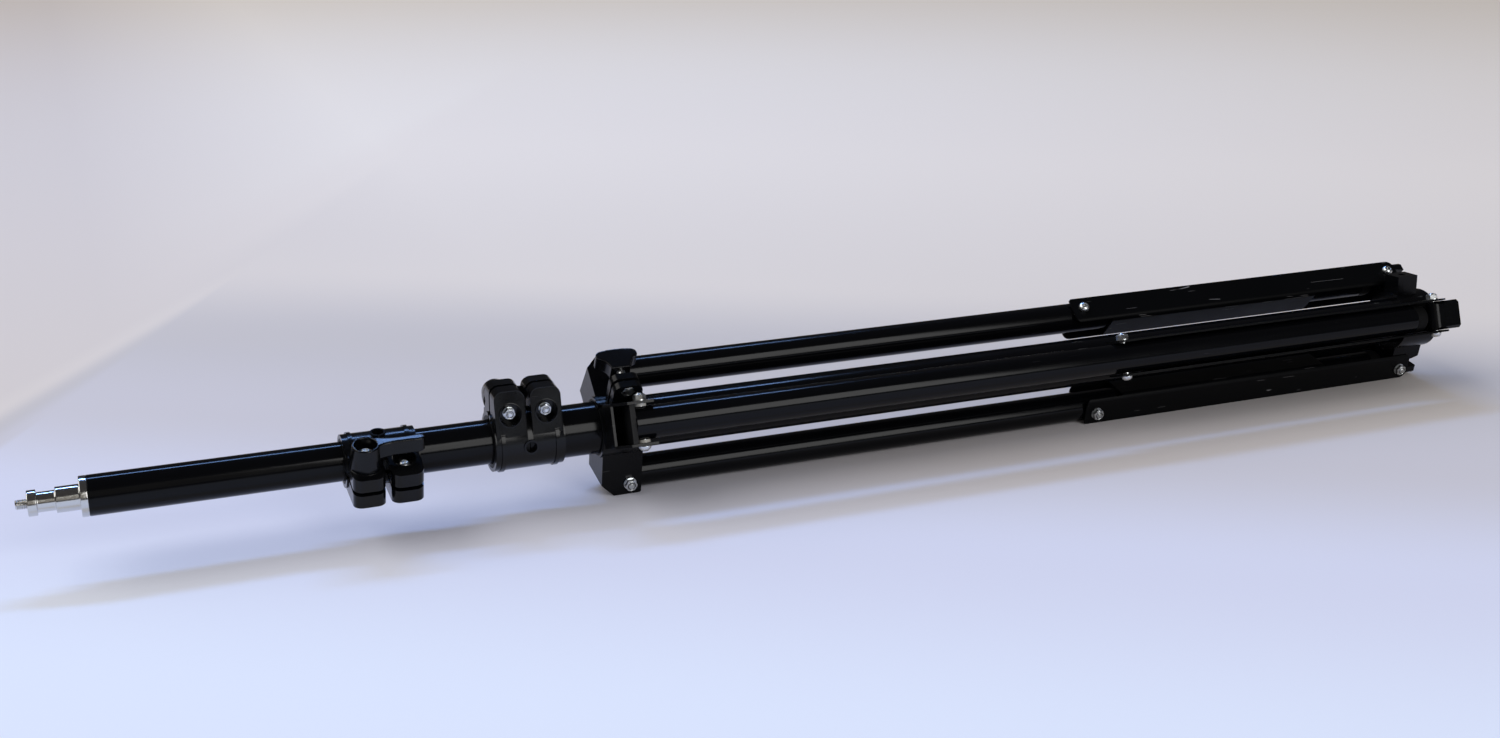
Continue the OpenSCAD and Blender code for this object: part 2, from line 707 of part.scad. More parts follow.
// Two spacers that fill the room between a leg's tube and the collar's plates
module leg_spacers(a) {
    y0 = leg_od / 2;
    y1 = plate_in - bolt_gap;
    color("#d8d6ce") at_leg(a) for (side = [-1, 1]) difference() {
        cross_rod(side > 0 ? y0 : -y1, side > 0 ? y1 : -y0, spacer_d / 2);
        cross_rod(-plate_half, plate_half, bolt_d / 2 + pin_gap);
    }
}

module leg_spacers_near() leg_spacers(near_a);

module leg_spacers_top() leg_spacers(top_a);

module leg_spacers_low() leg_spacers(low_a);

// Legs

module leg_tube(a) {
    r = leg_od / 2;
    end_x = foot_x - foot_len;
    color("#101114") at_leg(a) difference() {
        ring(-leg_over, end_x + leg_over, r, r - leg_wall);
        cross_rod(-leg_od, leg_od, bolt_d / 2 + pin_gap);
        translate([leg_to_brace, 0, 0]) cross_rod(-leg_od, leg_od, bolt_d / 2 + pin_gap);
    }
}

module leg_tube_near() leg_tube(near_a);

module leg_tube_top() leg_tube(top_a);

module leg_tube_low() leg_tube(low_a);

module leg_plug(a) {
    r = leg_od / 2 - leg_wall;
    half = plate_in - shoulder_gap;
    high = leg_od / 2 - shoulder_low;
    color("#1b1b1d") at_leg(a) difference() {
        union() {
            rod(-leg_over - over, top_plug_len + over, r);
            translate([-leg_over - shoulder_t, -half, -high]) cube([shoulder_t, 2 * half, 2 * high]);
        }
        cross_rod(-leg_od, leg_od, bolt_d / 2 + pin_gap);
    }
}

module leg_plug_near() leg_plug(near_a);

module leg_plug_top() leg_plug(top_a);

module leg_plug_low() leg_plug(low_a);

module foot(a) {
    r = leg_od / 2;
    end_x = foot_x - foot_len;
    nose = r / 2;
    color("#1b1b1d") at_leg(a) {
        rod(end_x - foot_plug_len, foot_plug_len + over, r - leg_wall);
        translate([end_x, 0, 0]) rotate([0, 90, 0]) rotate_extrude() difference() {
            square([r, foot_len]);
            translate([r - nose, foot_len - nose]) difference() {
                square(nose + over);
                circle(nose);
            }
        }
    }
}

module foot_near() foot(near_a);

module foot_top() foot(top_a);

module foot_low() foot(low_a);

// Braces

// A brace's section, open outwards: a web on the column's side and two flanges
module brace_section() {
    w = brace_half;
    difference() {
        bent_box(w, -web_in, bend_r);
        bent_box(w - brace_t, -web_in + brace_t, bend_r - brace_t);
    }
}

// A box from z0 up past the flanges' edge, with its two lower corners rounded
module bent_box(half, z0, r) {
    translate([-half, z0 + r]) square([2 * half, flange_out - z0 - r]);
    translate([-half + r, z0]) square([2 * (half - r), r]);
    for (side = [-1, 1]) translate([side * (half - r), z0 + r]) circle(r);
}

// A flange seen from the side, with rounded ends
module flange_side() {
    x0 = leg_to_brace - brace_over;
    x1 = hub_bolt_x + brace_over_hub;
    small = end_r / 3;
    difference() {
        translate([x0, -web_in]) square([x1 - x0, web_in + flange_out]);
        translate([x1 - end_r, flange_out - end_r]) corner_cut(end_r);
        translate([x0 + small, flange_out - small]) mirror([1, 0]) corner_cut(small);
        translate([x1 - end_r, -web_in + end_r]) mirror([0, 1]) corner_cut(end_r);
        translate([x0 + end_r, -web_in + end_r]) rotate(180) corner_cut(end_r);
    }
}

// What a rounded corner leaves out, with the corner's centre at the origin
module corner_cut(r) difference() {
    square(r + over);
    circle(r);
}

module brace(a) {
    x0 = leg_to_brace - brace_over;
    x1 = hub_bolt_x + brace_over_hub;
    inner = brace_half - brace_t;
    reach = bend_r + over;
    color("#17171a") at_leg(a) difference() {
        intersection() {
            along(x0, x1) brace_section();
            across(-brace_half, brace_half) flange_side();
        }
        translate([x0 - over, -inner, -web_in - over])
            cube([brace_over + web_cut_leg + over, 2 * inner, reach]);
        translate([hub_bolt_x - web_cut_hub, -inner, -web_in - over])
            cube([brace_over_hub + web_cut_hub + over, 2 * inner, reach]);
        for (x = [leg_to_brace, hub_bolt_x]) translate([x, 0, 0])
            cross_rod(-brace_half - over, brace_half + over, bolt_d / 2 + pin_gap);
    }
}

module brace_near() brace(near_a);

module brace_top() brace(top_a);

module brace_low() brace(low_a);

// Hub

// The hook's mouth, open towards the stand's lower end
module hook_mouth() {
    r = bolt_d / 2 + hook_gap;
    far = 2 * hub_over;
    circle(r);
    polygon([
        [0, r], [far, r - far * tan(hook_a_out)],
        [far, -r - far * tan(hook_a_in)], [-r * sin(hook_a_in), -r * cos(hook_a_in)]
    ]);
}

module hub_arm() {
    z0 = -leg_r + hub_od / 4;
    x1 = hub_over;
    difference() {
        across(-arm_half, arm_half) difference() {
            union() {
                translate([0, z0]) square([x1, arm_out - z0]);
                translate([-arm_back, z0]) square([arm_back + over, -z0]);
                circle(arm_back);
            }
            hook_mouth();
        }
        along(-hub_len, 2 * hub_over) for (side = [-1, 1])
            translate([side * arm_half, arm_out]) rotate(45) square(arm_cut, center = true);
    }
}

module hub() {
    ring_x = hub_end_x - hub_len;
    color("#17171a") stand() difference() {
        union() {
            rod(ring_x, hub_len, hub_od / 2);
            for (a = [near_a, top_a, low_a]) at(a) translate([hub_bolt_x, 0, leg_r]) hub_arm();
            at(block_a) translate([ring_x + block_in, -block_w / 2, 0])
                cube([block_l, block_w, hub_od / 2 + block_h]);
        }
        rod(ring_x - over, hub_len + 2 * over, lower_od / 2);
        at(block_a) translate([ring_x + block_in + block_l / 2, 0, 0])
            cylinder(h = hub_od + block_h, r = block_hole_d / 2);
    }
}

module hub_screw() {
    ring_x = hub_end_x - hub_len;
    r = block_hole_d / 2 - bolt_gap;
    z0 = lower_od / 2 + bolt_gap;
    color("#3a3b3e") stand() at(block_a) translate([ring_x + block_in + block_l / 2, 0, z0])
        cylinder(h = hub_od / 2 + block_h - z0 - screw_low, r = r);
}

module column_cap() {
    r = lower_od / 2;
    color("#1b1b1d") stand() {
        rod(lower_end_x, cap_t, r - liner_gap);
        rod(lower_end_x - cap_depth, cap_depth + over, r - column_wall);
    }
}

lower_tube();
middle_tube();
top_tube();
middle_tube_bush();
top_tube_bush();
spigot();
spigot_stud();
lower_clamp();
lower_clamp_liner();
lower_clamp_bolts();
lower_clamp_nuts();
lower_wing_knob();
upper_clamp();
upper_clamp_liner();
upper_clamp_bolts();
upper_clamp_nuts();
upper_wing_knob();
leg_collar();
leg_collar_liner();
leg_collar_nut();
t_knob();
t_knob_screw();
leg_pivot_bolt_near();
leg_pivot_bolt_top();
leg_pivot_bolt_low();
leg_spacers_near();
leg_spacers_top();
leg_spacers_low();
leg_tube_near();
leg_tube_top();
leg_tube_low();
leg_plug_near();
leg_plug_top();
leg_plug_low();
foot_near();
foot_top();
foot_low();
brace_bolt_near();
brace_bolt_top();
brace_bolt_low();
brace_near();
brace_top();
brace_low();
hub_bolt_near();
hub_bolt_top();
hub_bolt_low();
hub();
hub_screw();
column_cap();
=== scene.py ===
import math
import bpy
import bmesh
from mathutils import Matrix, Vector


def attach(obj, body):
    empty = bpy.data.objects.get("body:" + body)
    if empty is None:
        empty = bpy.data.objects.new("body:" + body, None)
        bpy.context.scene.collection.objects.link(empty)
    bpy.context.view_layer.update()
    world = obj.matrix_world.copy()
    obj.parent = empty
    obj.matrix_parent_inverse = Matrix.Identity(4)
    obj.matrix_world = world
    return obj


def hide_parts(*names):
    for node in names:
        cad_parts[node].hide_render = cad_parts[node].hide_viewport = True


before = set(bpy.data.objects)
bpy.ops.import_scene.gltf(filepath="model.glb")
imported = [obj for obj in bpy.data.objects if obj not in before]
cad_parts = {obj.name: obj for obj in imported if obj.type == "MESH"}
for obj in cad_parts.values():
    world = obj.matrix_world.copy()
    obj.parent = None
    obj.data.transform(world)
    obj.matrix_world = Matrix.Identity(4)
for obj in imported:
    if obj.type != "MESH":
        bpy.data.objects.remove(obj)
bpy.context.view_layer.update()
scene = bpy.context.scene
scene.view_settings.view_transform = "Standard"
print("frame loaded:", len(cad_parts), "nodes")

mm = 0.001
legNames = ("near", "top", "low")

# the column's own frame, as in the part's source: x from the leg pivots of the folded stand, in mm
column = {"axis": (-146.55, 2.3456, 48.9437), "nearAngle": 19.1066, "legStep": 120, "legRadius": 38.64}
legAngle = {
    "near": column["nearAngle"],
    "top": column["nearAngle"] + column["legStep"],
    "low": column["nearAngle"] - column["legStep"],
}
columnFrame = Matrix.Translation([place * mm for place in column["axis"]]) @ Matrix.Scale(mm, 4)

# quarter turns, named for the axis that they turn and the one that it turns to
xToY = Matrix.Rotation(math.pi / 2, 4, "Z")
xToZ = Matrix.Rotation(-math.pi / 2, 4, "Y")
zToY = Matrix.Rotation(-math.pi / 2, 4, "X")
zToMinusY = Matrix.Rotation(math.pi / 2, 4, "X")


# A frame beside the column: Z points away from its axis at this angle, and X runs along it.
def about(angle, x=0, out=0):
    return columnFrame @ Matrix.Rotation(math.radians(90 - angle), 4, "X") @ Matrix.Translation((x, 0, out))


def legFrame(leg, x=0):
    return about(legAngle[leg], x, column["legRadius"])


# shader groups

def addNode(tree, kind, values=None, **settings):
    node = tree.nodes.new(kind)
    for key, value in settings.items():
        setattr(node, key, value)
    for key, value in (values or {}).items():
        node.inputs[key].default_value = value
    return node


def join(tree, *pairs):
    for a, b in pairs:
        tree.links.new(a, b)


def shaderGroup(name, inputs, outputs):
    group = bpy.data.node_groups.new(name, "ShaderNodeTree")
    for label, value in inputs.items():
        socket = group.interface.new_socket(label, in_out="INPUT", socket_type="NodeSocketFloat")
        socket.default_value = value
    for label in outputs:
        group.interface.new_socket(label, in_out="OUTPUT", socket_type="NodeSocketFloat")
    start = group.nodes.new("NodeGroupInput")
    end = group.nodes.new("NodeGroupOutput")
    return group, start.outputs, end.inputs


# Noise in object coordinates, drawn out along the column.
def stretchedNoise(group, start, scale, stretch, detail, offset=(0, 0, 0)):
    where = addNode(group, "ShaderNodeTexCoord")
    mapping = addNode(group, "ShaderNodeMapping", {"Location": offset, "Scale": (stretch, 1, 1)})
    noise = addNode(group, "ShaderNodeTexNoise", {"Detail": detail})
    join(group, (where.outputs["Object"], mapping.inputs["Vector"]),
         (mapping.outputs[0], noise.inputs["Vector"]), (start[scale], noise.inputs["Scale"]))
    return noise.outputs[0]


# low and high may be sockets or numbers.
def mapped(group, value, low, high, toLow=0.0, toHigh=1.0):
    node = addNode(group, "ShaderNodeMapRange", {"To Min": toLow, "To Max": toHigh})
    join(group, (value, node.inputs["Value"]))
    for source, label in ((low, "From Min"), (high, "From Max")):
        if isinstance(source, (int, float)):
            node.inputs[label].default_value = source
        else:
            join(group, (source, node.inputs[label]))
    return node.outputs[0]


def blendValue(group, low, high, factor):
    node = addNode(group, "ShaderNodeMix", data_type="FLOAT")
    join(group, (low, node.inputs["A"]), (high, node.inputs["B"]), (factor, node.inputs["Factor"]))
    return node.outputs[0]


# A math node's result. The values may be sockets or numbers.
def mathNode(tree, operation, *values):
    node = addNode(tree, "ShaderNodeMath", operation=operation)
    for slot, value in enumerate(values):
        if isinstance(value, (int, float)):
            node.inputs[slot].default_value = value
        else:
            join(tree, (value, node.inputs[slot]))
    return node.outputs[0]


# share is how much of one noise is added to the other, and spread the range that goes from smooth to rough.
textures = {
    "grain": {"share": 0.35, "spread": (0.4, 0.95)},
    "streaks": {"share": 0.5, "spread": (0.55, 1.0)},
    "turned": {"spread": (0.35, 0.7)},
    "scratches": {"middle": 0.5, "shown": (0.67, 0.71), "offset": (0.4, 1.7, 2.3)},
}


# Sends out a texture's height, and a roughness that follows the value across the spread.
def endTexture(group, start, end, height, value, spread):
    factor = mapped(group, value, *spread)
    roughness = blendValue(group, start["Smooth"], start["Rough"], factor)
    join(group, (height, end["Height"]), (roughness, end["Roughness"]))


# A fine cast or moulded grain, with slow patches of gloss.
def makeGrain():
    group, start, end = shaderGroup(
        "surfaceGrain", {"Grain": 900.0, "Patch": 30.0, "Smooth": 0.2, "Rough": 0.4},
        ("Height", "Roughness"))
    fine = stretchedNoise(group, start, "Grain", stretch=1, detail=3)
    slow = stretchedNoise(group, start, "Patch", stretch=1, detail=5)
    both = mathNode(group, "MULTIPLY_ADD", fine, textures["grain"]["share"], slow)
    endTexture(group, start, end, fine, both, textures["grain"]["spread"])
    return group


# Rub marks and handling along a tube, and the slight waviness of its paint.
def makeStreaks():
    group, start, end = shaderGroup(
        "tubeStreaks", {"Streak": 260.0, "Wave": 55.0, "Smooth": 0.1, "Rough": 0.25},
        ("Height", "Roughness"))
    streak = stretchedNoise(group, start, "Streak", stretch=0.02, detail=6)
    wave = stretchedNoise(group, start, "Wave", stretch=0.5, detail=2)
    both = mathNode(group, "MULTIPLY_ADD", wave, textures["streaks"]["share"], streak)
    endTexture(group, start, end, wave, both, textures["streaks"]["spread"])
    return group


# Short bright scratches, mostly along the part: thin lines where a noise passes its middle, shown in places.
def makeScratches():
    group, start, end = shaderGroup(
        "scratches", {"Length": 60.0, "Width": 0.02, "Amount": 0.3}, ("Mask",))
    look = textures["scratches"]
    lines = stretchedNoise(group, start, "Length", stretch=0.04, detail=1)
    away = mathNode(group, "ABSOLUTE", mathNode(group, "SUBTRACT", lines, look["middle"]))
    line = mapped(group, away, 0.0, start["Width"], toLow=1.0, toHigh=0.0)
    where = stretchedNoise(group, start, "Length", stretch=0.5, detail=0, offset=look["offset"])
    shown = mathNode(group, "MULTIPLY", line, mapped(group, where, *look["shown"]))
    join(group, (mathNode(group, "MULTIPLY", shown, start["Amount"]), end["Mask"]))
    return group


# The fine rings that a lathe leaves round the column's axis.
def makeTurned():
    group, start, end = shaderGroup(
        "turnedRings", {"Rings": 1400.0, "Smooth": 0.1, "Rough": 0.3}, ("Height", "Roughness"))
    where = addNode(group, "ShaderNodeTexCoord")
    wave = addNode(group, "ShaderNodeTexWave", {"Distortion": 0.6, "Detail": 3.0, "Detail Scale": 2.0},
                   bands_direction="X")
    join(group, (where.outputs["Object"], wave.inputs["Vector"]), (start["Rings"], wave.inputs["Scale"]))
    noise = stretchedNoise(group, start, "Rings", stretch=0.6, detail=3)
    endTexture(group, start, end, wave.outputs[1], noise, textures["turned"]["spread"])
    return group


grainGroup, streakGroup = makeGrain(), makeStreaks()
scratchGroup, turnedGroup = makeScratches(), makeTurned()


# finishes

finishes = {
    "gloss_black_tube": {
        "colour": (0.0018, 0.002, 0.0026), "mark": (0.05, 0.05, 0.055), "metallic": 0.0, "specular": 0.16,
        "group": streakGroup, "texture": {"Streak": 260.0, "Wave": 45.0, "Smooth": 0.1, "Rough": 0.2},
        "bump": 0.02, "bumpDepth": 0.0002, "scratch": {"Length": 120.0, "Width": 0.004, "Amount": 0.2},
    },
    "black_plastic": {
        "colour": (0.0018, 0.002, 0.0026), "mark": (0.05, 0.05, 0.055), "metallic": 0.0, "specular": 0.26,
        "group": grainGroup, "texture": {"Grain": 1500.0, "Patch": 45.0, "Smooth": 0.13, "Rough": 0.26},
        "bump": 0.06, "bumpDepth": 0.0002, "scratch": {"Length": 90.0, "Width": 0.01, "Amount": 0.3},
    },
    "black_nylon": {
        "colour": (0.003, 0.003, 0.0033), "mark": (0.05, 0.05, 0.05), "metallic": 0.0, "specular": 0.2,
        "group": grainGroup, "texture": {"Grain": 1300.0, "Patch": 60.0, "Smooth": 0.4, "Rough": 0.6},
        "bump": 0.15, "bumpDepth": 0.0002, "scratch": {"Length": 90.0, "Width": 0.01, "Amount": 0.2},
    },
    "black_rubber": {
        "colour": (0.0025, 0.0025, 0.0026), "mark": (0.05, 0.048, 0.046), "metallic": 0.0, "specular": 0.1,
        "group": grainGroup, "texture": {"Grain": 1100.0, "Patch": 70.0, "Smooth": 0.5, "Rough": 0.75},
        "bump": 0.25, "bumpDepth": 0.0003, "scratch": {"Length": 120.0, "Width": 0.02, "Amount": 0.4},
    },
    "black_cast_metal": {
        "colour": (0.0018, 0.002, 0.0026), "mark": (0.1, 0.1, 0.105), "metallic": 0.0, "specular": 0.16,
        "group": grainGroup, "texture": {"Grain": 700.0, "Patch": 40.0, "Smooth": 0.14, "Rough": 0.3},
        "bump": 0.12, "bumpDepth": 0.0003, "scratch": {"Length": 80.0, "Width": 0.01, "Amount": 0.4},
    },
    "black_sheet_steel": {
        "colour": (0.0018, 0.002, 0.0024), "mark": (0.3, 0.3, 0.31), "metallic": 0.0, "specular": 0.09,
        "group": grainGroup, "texture": {"Grain": 900.0, "Patch": 25.0, "Smooth": 0.28, "Rough": 0.42},
        "bump": 0.06, "bumpDepth": 0.0003, "scratch": {"Length": 130.0, "Width": 0.009, "Amount": 0.7},
    },
    "polished_metal": {
        "colour": (0.6, 0.595, 0.58), "mark": (0.4, 0.39, 0.38), "metallic": 1.0, "specular": 0.5,
        "group": turnedGroup, "texture": {"Rings": 1500.0, "Smooth": 0.08, "Rough": 0.22},
        "bump": 0.08, "bumpDepth": 0.0001, "scratch": {"Length": 200.0, "Width": 0.02, "Amount": 0.4},
    },
    "zinc_steel": {
        "colour": (0.66, 0.68, 0.69), "mark": (0.35, 0.35, 0.34), "metallic": 1.0, "specular": 0.5,
        "group": grainGroup, "texture": {"Grain": 1600.0, "Patch": 300.0, "Smooth": 0.2, "Rough": 0.4},
        "bump": 0.1, "bumpDepth": 0.0001, "scratch": {"Length": 400.0, "Width": 0.03, "Amount": 0.5},
    },
    "dark_steel": {
        "colour": (0.09, 0.09, 0.095), "mark": (0.3, 0.3, 0.3), "metallic": 1.0, "specular": 0.5,
        "group": grainGroup, "texture": {"Grain": 1600.0, "Patch": 300.0, "Smooth": 0.3, "Rough": 0.5},
        "bump": 0.1, "bumpDepth": 0.0001, "scratch": {"Length": 400.0, "Width": 0.03, "Amount": 0.4},
    },
    "white_nylon": {
        "colour": (0.55, 0.54, 0.5), "mark": (0.3, 0.29, 0.27), "metallic": 0.0, "specular": 0.4,
        "group": grainGroup, "texture": {"Grain": 1300.0, "Patch": 90.0, "Smooth": 0.35, "Rough": 0.5},
        "bump": 0.1, "bumpDepth": 0.0002, "scratch": {"Length": 200.0, "Width": 0.02, "Amount": 0.5},
    },
}


def makeFinish(name, look):
    material = bpy.data.materials.new(name)
    material.use_nodes = True
    tree = material.node_tree
    tree.nodes.clear()
    out = addNode(tree, "ShaderNodeOutputMaterial")
    shader = addNode(tree, "ShaderNodeBsdfPrincipled",
                     {"Metallic": look["metallic"], "Specular IOR Level": look["specular"]})
    texture = addNode(tree, "ShaderNodeGroup", node_tree=look["group"])
    for label, value in look["texture"].items():
        texture.inputs[label].default_value = value
    marks = addNode(tree, "ShaderNodeGroup", node_tree=scratchGroup)
    for label, value in look["scratch"].items():
        marks.inputs[label].default_value = value
    tints = {"A": (*look["colour"], 1), "B": (*look["mark"], 1)}
    colour = addNode(tree, "ShaderNodeMix", tints, data_type="RGBA")
    bump = addNode(tree, "ShaderNodeBump", {"Strength": look["bump"], "Distance": look["bumpDepth"]})
    join(tree, (marks.outputs["Mask"], colour.inputs["Factor"]),
         (colour.outputs["Result"], shader.inputs["Base Color"]),
         (texture.outputs["Roughness"], shader.inputs["Roughness"]),
         (texture.outputs["Height"], bump.inputs["Height"]), (bump.outputs[0], shader.inputs["Normal"]),
         (shader.outputs[0], out.inputs["Surface"]))
    return material


materials = {name: makeFinish(name, look) for name, look in finishes.items()}
print("finishes made:", len(materials))


# making pieces

# The object's evaluated mesh, with the object and its modifiers removed.
def applied(thing):
    mesh = bpy.data.meshes.new_from_object(thing.evaluated_get(bpy.context.evaluated_depsgraph_get()))
    old = thing.data
    bpy.data.objects.remove(thing)
    if old.users == 0:
        bpy.data.meshes.remove(old)
    return mesh


# The mesh with one modifier's work in it.
def modified(mesh, kind, **settings):
    thing = bpy.data.objects.new("soft", mesh)
    scene.collection.objects.link(thing)
    modifier = thing.modifiers.new(kind, kind)
    for key, value in settings.items():
        setattr(modifier, key, value)
    return applied(thing)


# the angles between faces, in degrees, from which an edge is shaded hard
hardEdge = {"plain": 35, "turned": 50, "soft": 60}


# A finished mesh in the row frame becomes a piece that rides on a body.
def addPiece(name, mesh, body, finish, nodes, hard="plain"):
    mesh.materials.clear()
    mesh.materials.append(materials[finish])
    for face in mesh.polygons:
        face.use_smooth = True
    work = bmesh.new()
    work.from_mesh(mesh)
    limit = math.radians(hardEdge[hard])
    for edge in work.edges:
        edge.smooth = len(edge.link_faces) < 2 or edge.calc_face_angle(0) < limit
    work.to_mesh(mesh)
    work.free()
    mesh = modified(mesh, "WEIGHTED_NORMAL", keep_sharp=True)
    mesh.name = name
    piece = bpy.data.objects.new(name, mesh)
    scene.collection.objects.link(piece)
    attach(piece, body)
    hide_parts(*nodes)


def placed(mesh, place):
    mesh.transform(place)
    return mesh


# The plain mesh of a bmesh, which is freed.
def meshOf(work):
    mesh = bpy.data.meshes.new("shape")
    work.to_mesh(mesh)
    work.free()
    return mesh


def joinMeshes(meshes):
    work = bmesh.new()
    for mesh in meshes:
        work.from_mesh(mesh)
        bpy.data.meshes.remove(mesh)
    return meshOf(work)


# Turns (x, radius) points about X. A closed profile makes a ring.
def revolve(profile, sides=96, closed=False):
    work = bmesh.new()
    rings = []
    for x, r in profile:
        if r == 0:
            rings.append([work.verts.new((x, 0, 0))])
        else:
            turns = [2 * math.pi * i / sides for i in range(sides)]
            rings.append([work.verts.new((x, r * math.cos(t), r * math.sin(t))) for t in turns])
    pairs = list(zip(rings, rings[1:] + rings[:1]))
    for a, b in pairs if closed else pairs[:-1]:
        for i in range(sides):
            j = (i + 1) % sides
            corners = [a[i % len(a)], a[j % len(a)], b[j % len(b)], b[i % len(b)]]
            work.faces.new(list(dict.fromkeys(corners)))
    bmesh.ops.recalc_face_normals(work, faces=work.faces)
    return meshOf(work)


# Rings of as many points each, one above the other, become a closed skin with a face at each end.
def skinOf(rings):
    work = bmesh.new()
    loops = [[work.verts.new(point) for point in ring] for ring in rings]
    for a, b in zip(loops, loops[1:]):
        for i in range(len(a)):
            j = (i + 1) % len(a)
            work.faces.new((a[i], a[j], b[j], b[i]))
    for loop in (loops[0], loops[-1]):
        work.faces.new(loop)
    bmesh.ops.recalc_face_normals(work, faces=work.faces)
    return meshOf(work)


# how a CAD node's copy is cleaned, and the angle from which an edge is rounded: mm and degrees
copySet = {"merge": 0.03, "flat": 0.8, "segments": 3, "roundFrom": 28}


# A copy of a CAD node with its edges rounded, in the row frame.
def softCopy(node, width):
    work = bmesh.new()
    work.from_mesh(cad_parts[node].data)
    merge, flat = copySet["merge"] * mm, math.radians(copySet["flat"])
    bmesh.ops.remove_doubles(work, verts=work.verts, dist=merge)
    bmesh.ops.dissolve_degenerate(work, edges=work.edges, dist=merge)
    bmesh.ops.dissolve_limit(work, angle_limit=flat, verts=work.verts, edges=work.edges)
    return modified(
        meshOf(work), "BEVEL", width=width * mm, segments=copySet["segments"], limit_method="ANGLE",
        angle_limit=math.radians(copySet["roundFrom"]), miter_outer="MITER_ARC", use_clamp_overlap=True)


# trees of geometry nodes

def geometryTree(name, inputs):
    tree = bpy.data.node_groups.new(name, "GeometryNodeTree")
    tree.interface.new_socket("Geometry", in_out="INPUT", socket_type="NodeSocketGeometry")
    for label, value in inputs.items():
        kind = "NodeSocketInt" if isinstance(value, int) else "NodeSocketFloat"
        tree.interface.new_socket(label, in_out="INPUT", socket_type=kind).default_value = value
    tree.interface.new_socket("Geometry", in_out="OUTPUT", socket_type="NodeSocketGeometry")
    start, end = tree.nodes.new("NodeGroupInput"), tree.nodes.new("NodeGroupOutput")
    return tree, start.outputs, end.inputs


def finishTree(tree, geometry, end, material):
    real = addNode(tree, "GeometryNodeRealizeInstances")
    finish = addNode(tree, "GeometryNodeSetMaterial", {"Material": material})
    join(tree, (geometry, real.inputs[0]), (real.outputs[0], finish.inputs["Geometry"]),
         (finish.outputs[0], end["Geometry"]))


# Runs a tree on a base mesh, or on none, and returns the plain mesh.
def grow(tree, values, base=None):
    thing = bpy.data.objects.new("grown", base or bpy.data.meshes.new("grown"))
    scene.collection.objects.link(thing)
    modifier = thing.modifiers.new("nodes", "NODES")
    modifier.node_group = tree
    sockets = {s.name: s.identifier for s in tree.interface.items_tree if s.in_out == "INPUT"}
    for label, value in values.items():
        modifier[sockets[label]] = value
    return applied(thing)


# A tube along X: a filleted section carried round a circle.
def makeTubeTree():
    tree, start, end = geometryTree(
        "tube", {"Start": 0.0, "Length": 10.0, "Radius": 10.0, "Wall": 1.0, "Edge": 0.3, "Sides": 96})
    circle = addNode(tree, "GeometryNodeCurvePrimitiveCircle")
    section = addNode(tree, "GeometryNodeCurvePrimitiveQuadrilateral")
    filleted = addNode(tree, "GeometryNodeFilletCurve", {"Count": 3}, mode="POLY")
    sweep = addNode(tree, "GeometryNodeCurveToMesh")
    turn = addNode(tree, "GeometryNodeTransform", {"Rotation": (0, math.pi / 2, 0)})
    shift = addNode(tree, "ShaderNodeCombineXYZ")
    halfWall = mathNode(tree, "MULTIPLY", start["Wall"], 0.5)
    radius = mathNode(tree, "SUBTRACT", start["Radius"], halfWall)
    middle = mathNode(tree, "MULTIPLY_ADD", start["Length"], 0.5, start["Start"])
    join(tree, (start["Sides"], circle.inputs["Resolution"]), (radius, circle.inputs["Radius"]),
         (start["Wall"], section.inputs["Width"]), (start["Length"], section.inputs["Height"]),
         (section.outputs[0], filleted.inputs["Curve"]), (start["Edge"], filleted.inputs["Radius"]),
         (circle.outputs[0], sweep.inputs["Curve"]), (filleted.outputs[0], sweep.inputs["Profile Curve"]),
         (middle, shift.inputs["X"]), (sweep.outputs[0], turn.inputs["Geometry"]),
         (shift.outputs[0], turn.inputs["Translation"]))
    finishTree(tree, turn.outputs[0], end, materials["gloss_black_tube"])
    return tree


# The geometry moved up Z by a socket's value.
def raised(tree, geometry, height):
    up = addNode(tree, "GeometryNodeTransform")
    place = addNode(tree, "ShaderNodeCombineXYZ")
    join(tree, (height, place.inputs["Z"]), (geometry, up.inputs["Geometry"]),
         (place.outputs[0], up.inputs["Translation"]))
    return up.outputs[0]


# threadRings counts a thread's rings in one pitch. hexShare gives radii as shares of a hex's flats: over its
# corners, at the chamfer's top and along the bead. The chamfer's cone widens by slope times its height.
fastenerSet = {
    "threadRings": 9, "threadSides": 40, "roundSides": 48, "beadSides": 12,
    "hexShare": {"corner": 0.57735, "top": 0.47, "bead": 0.41}, "slope": 1.7,
}


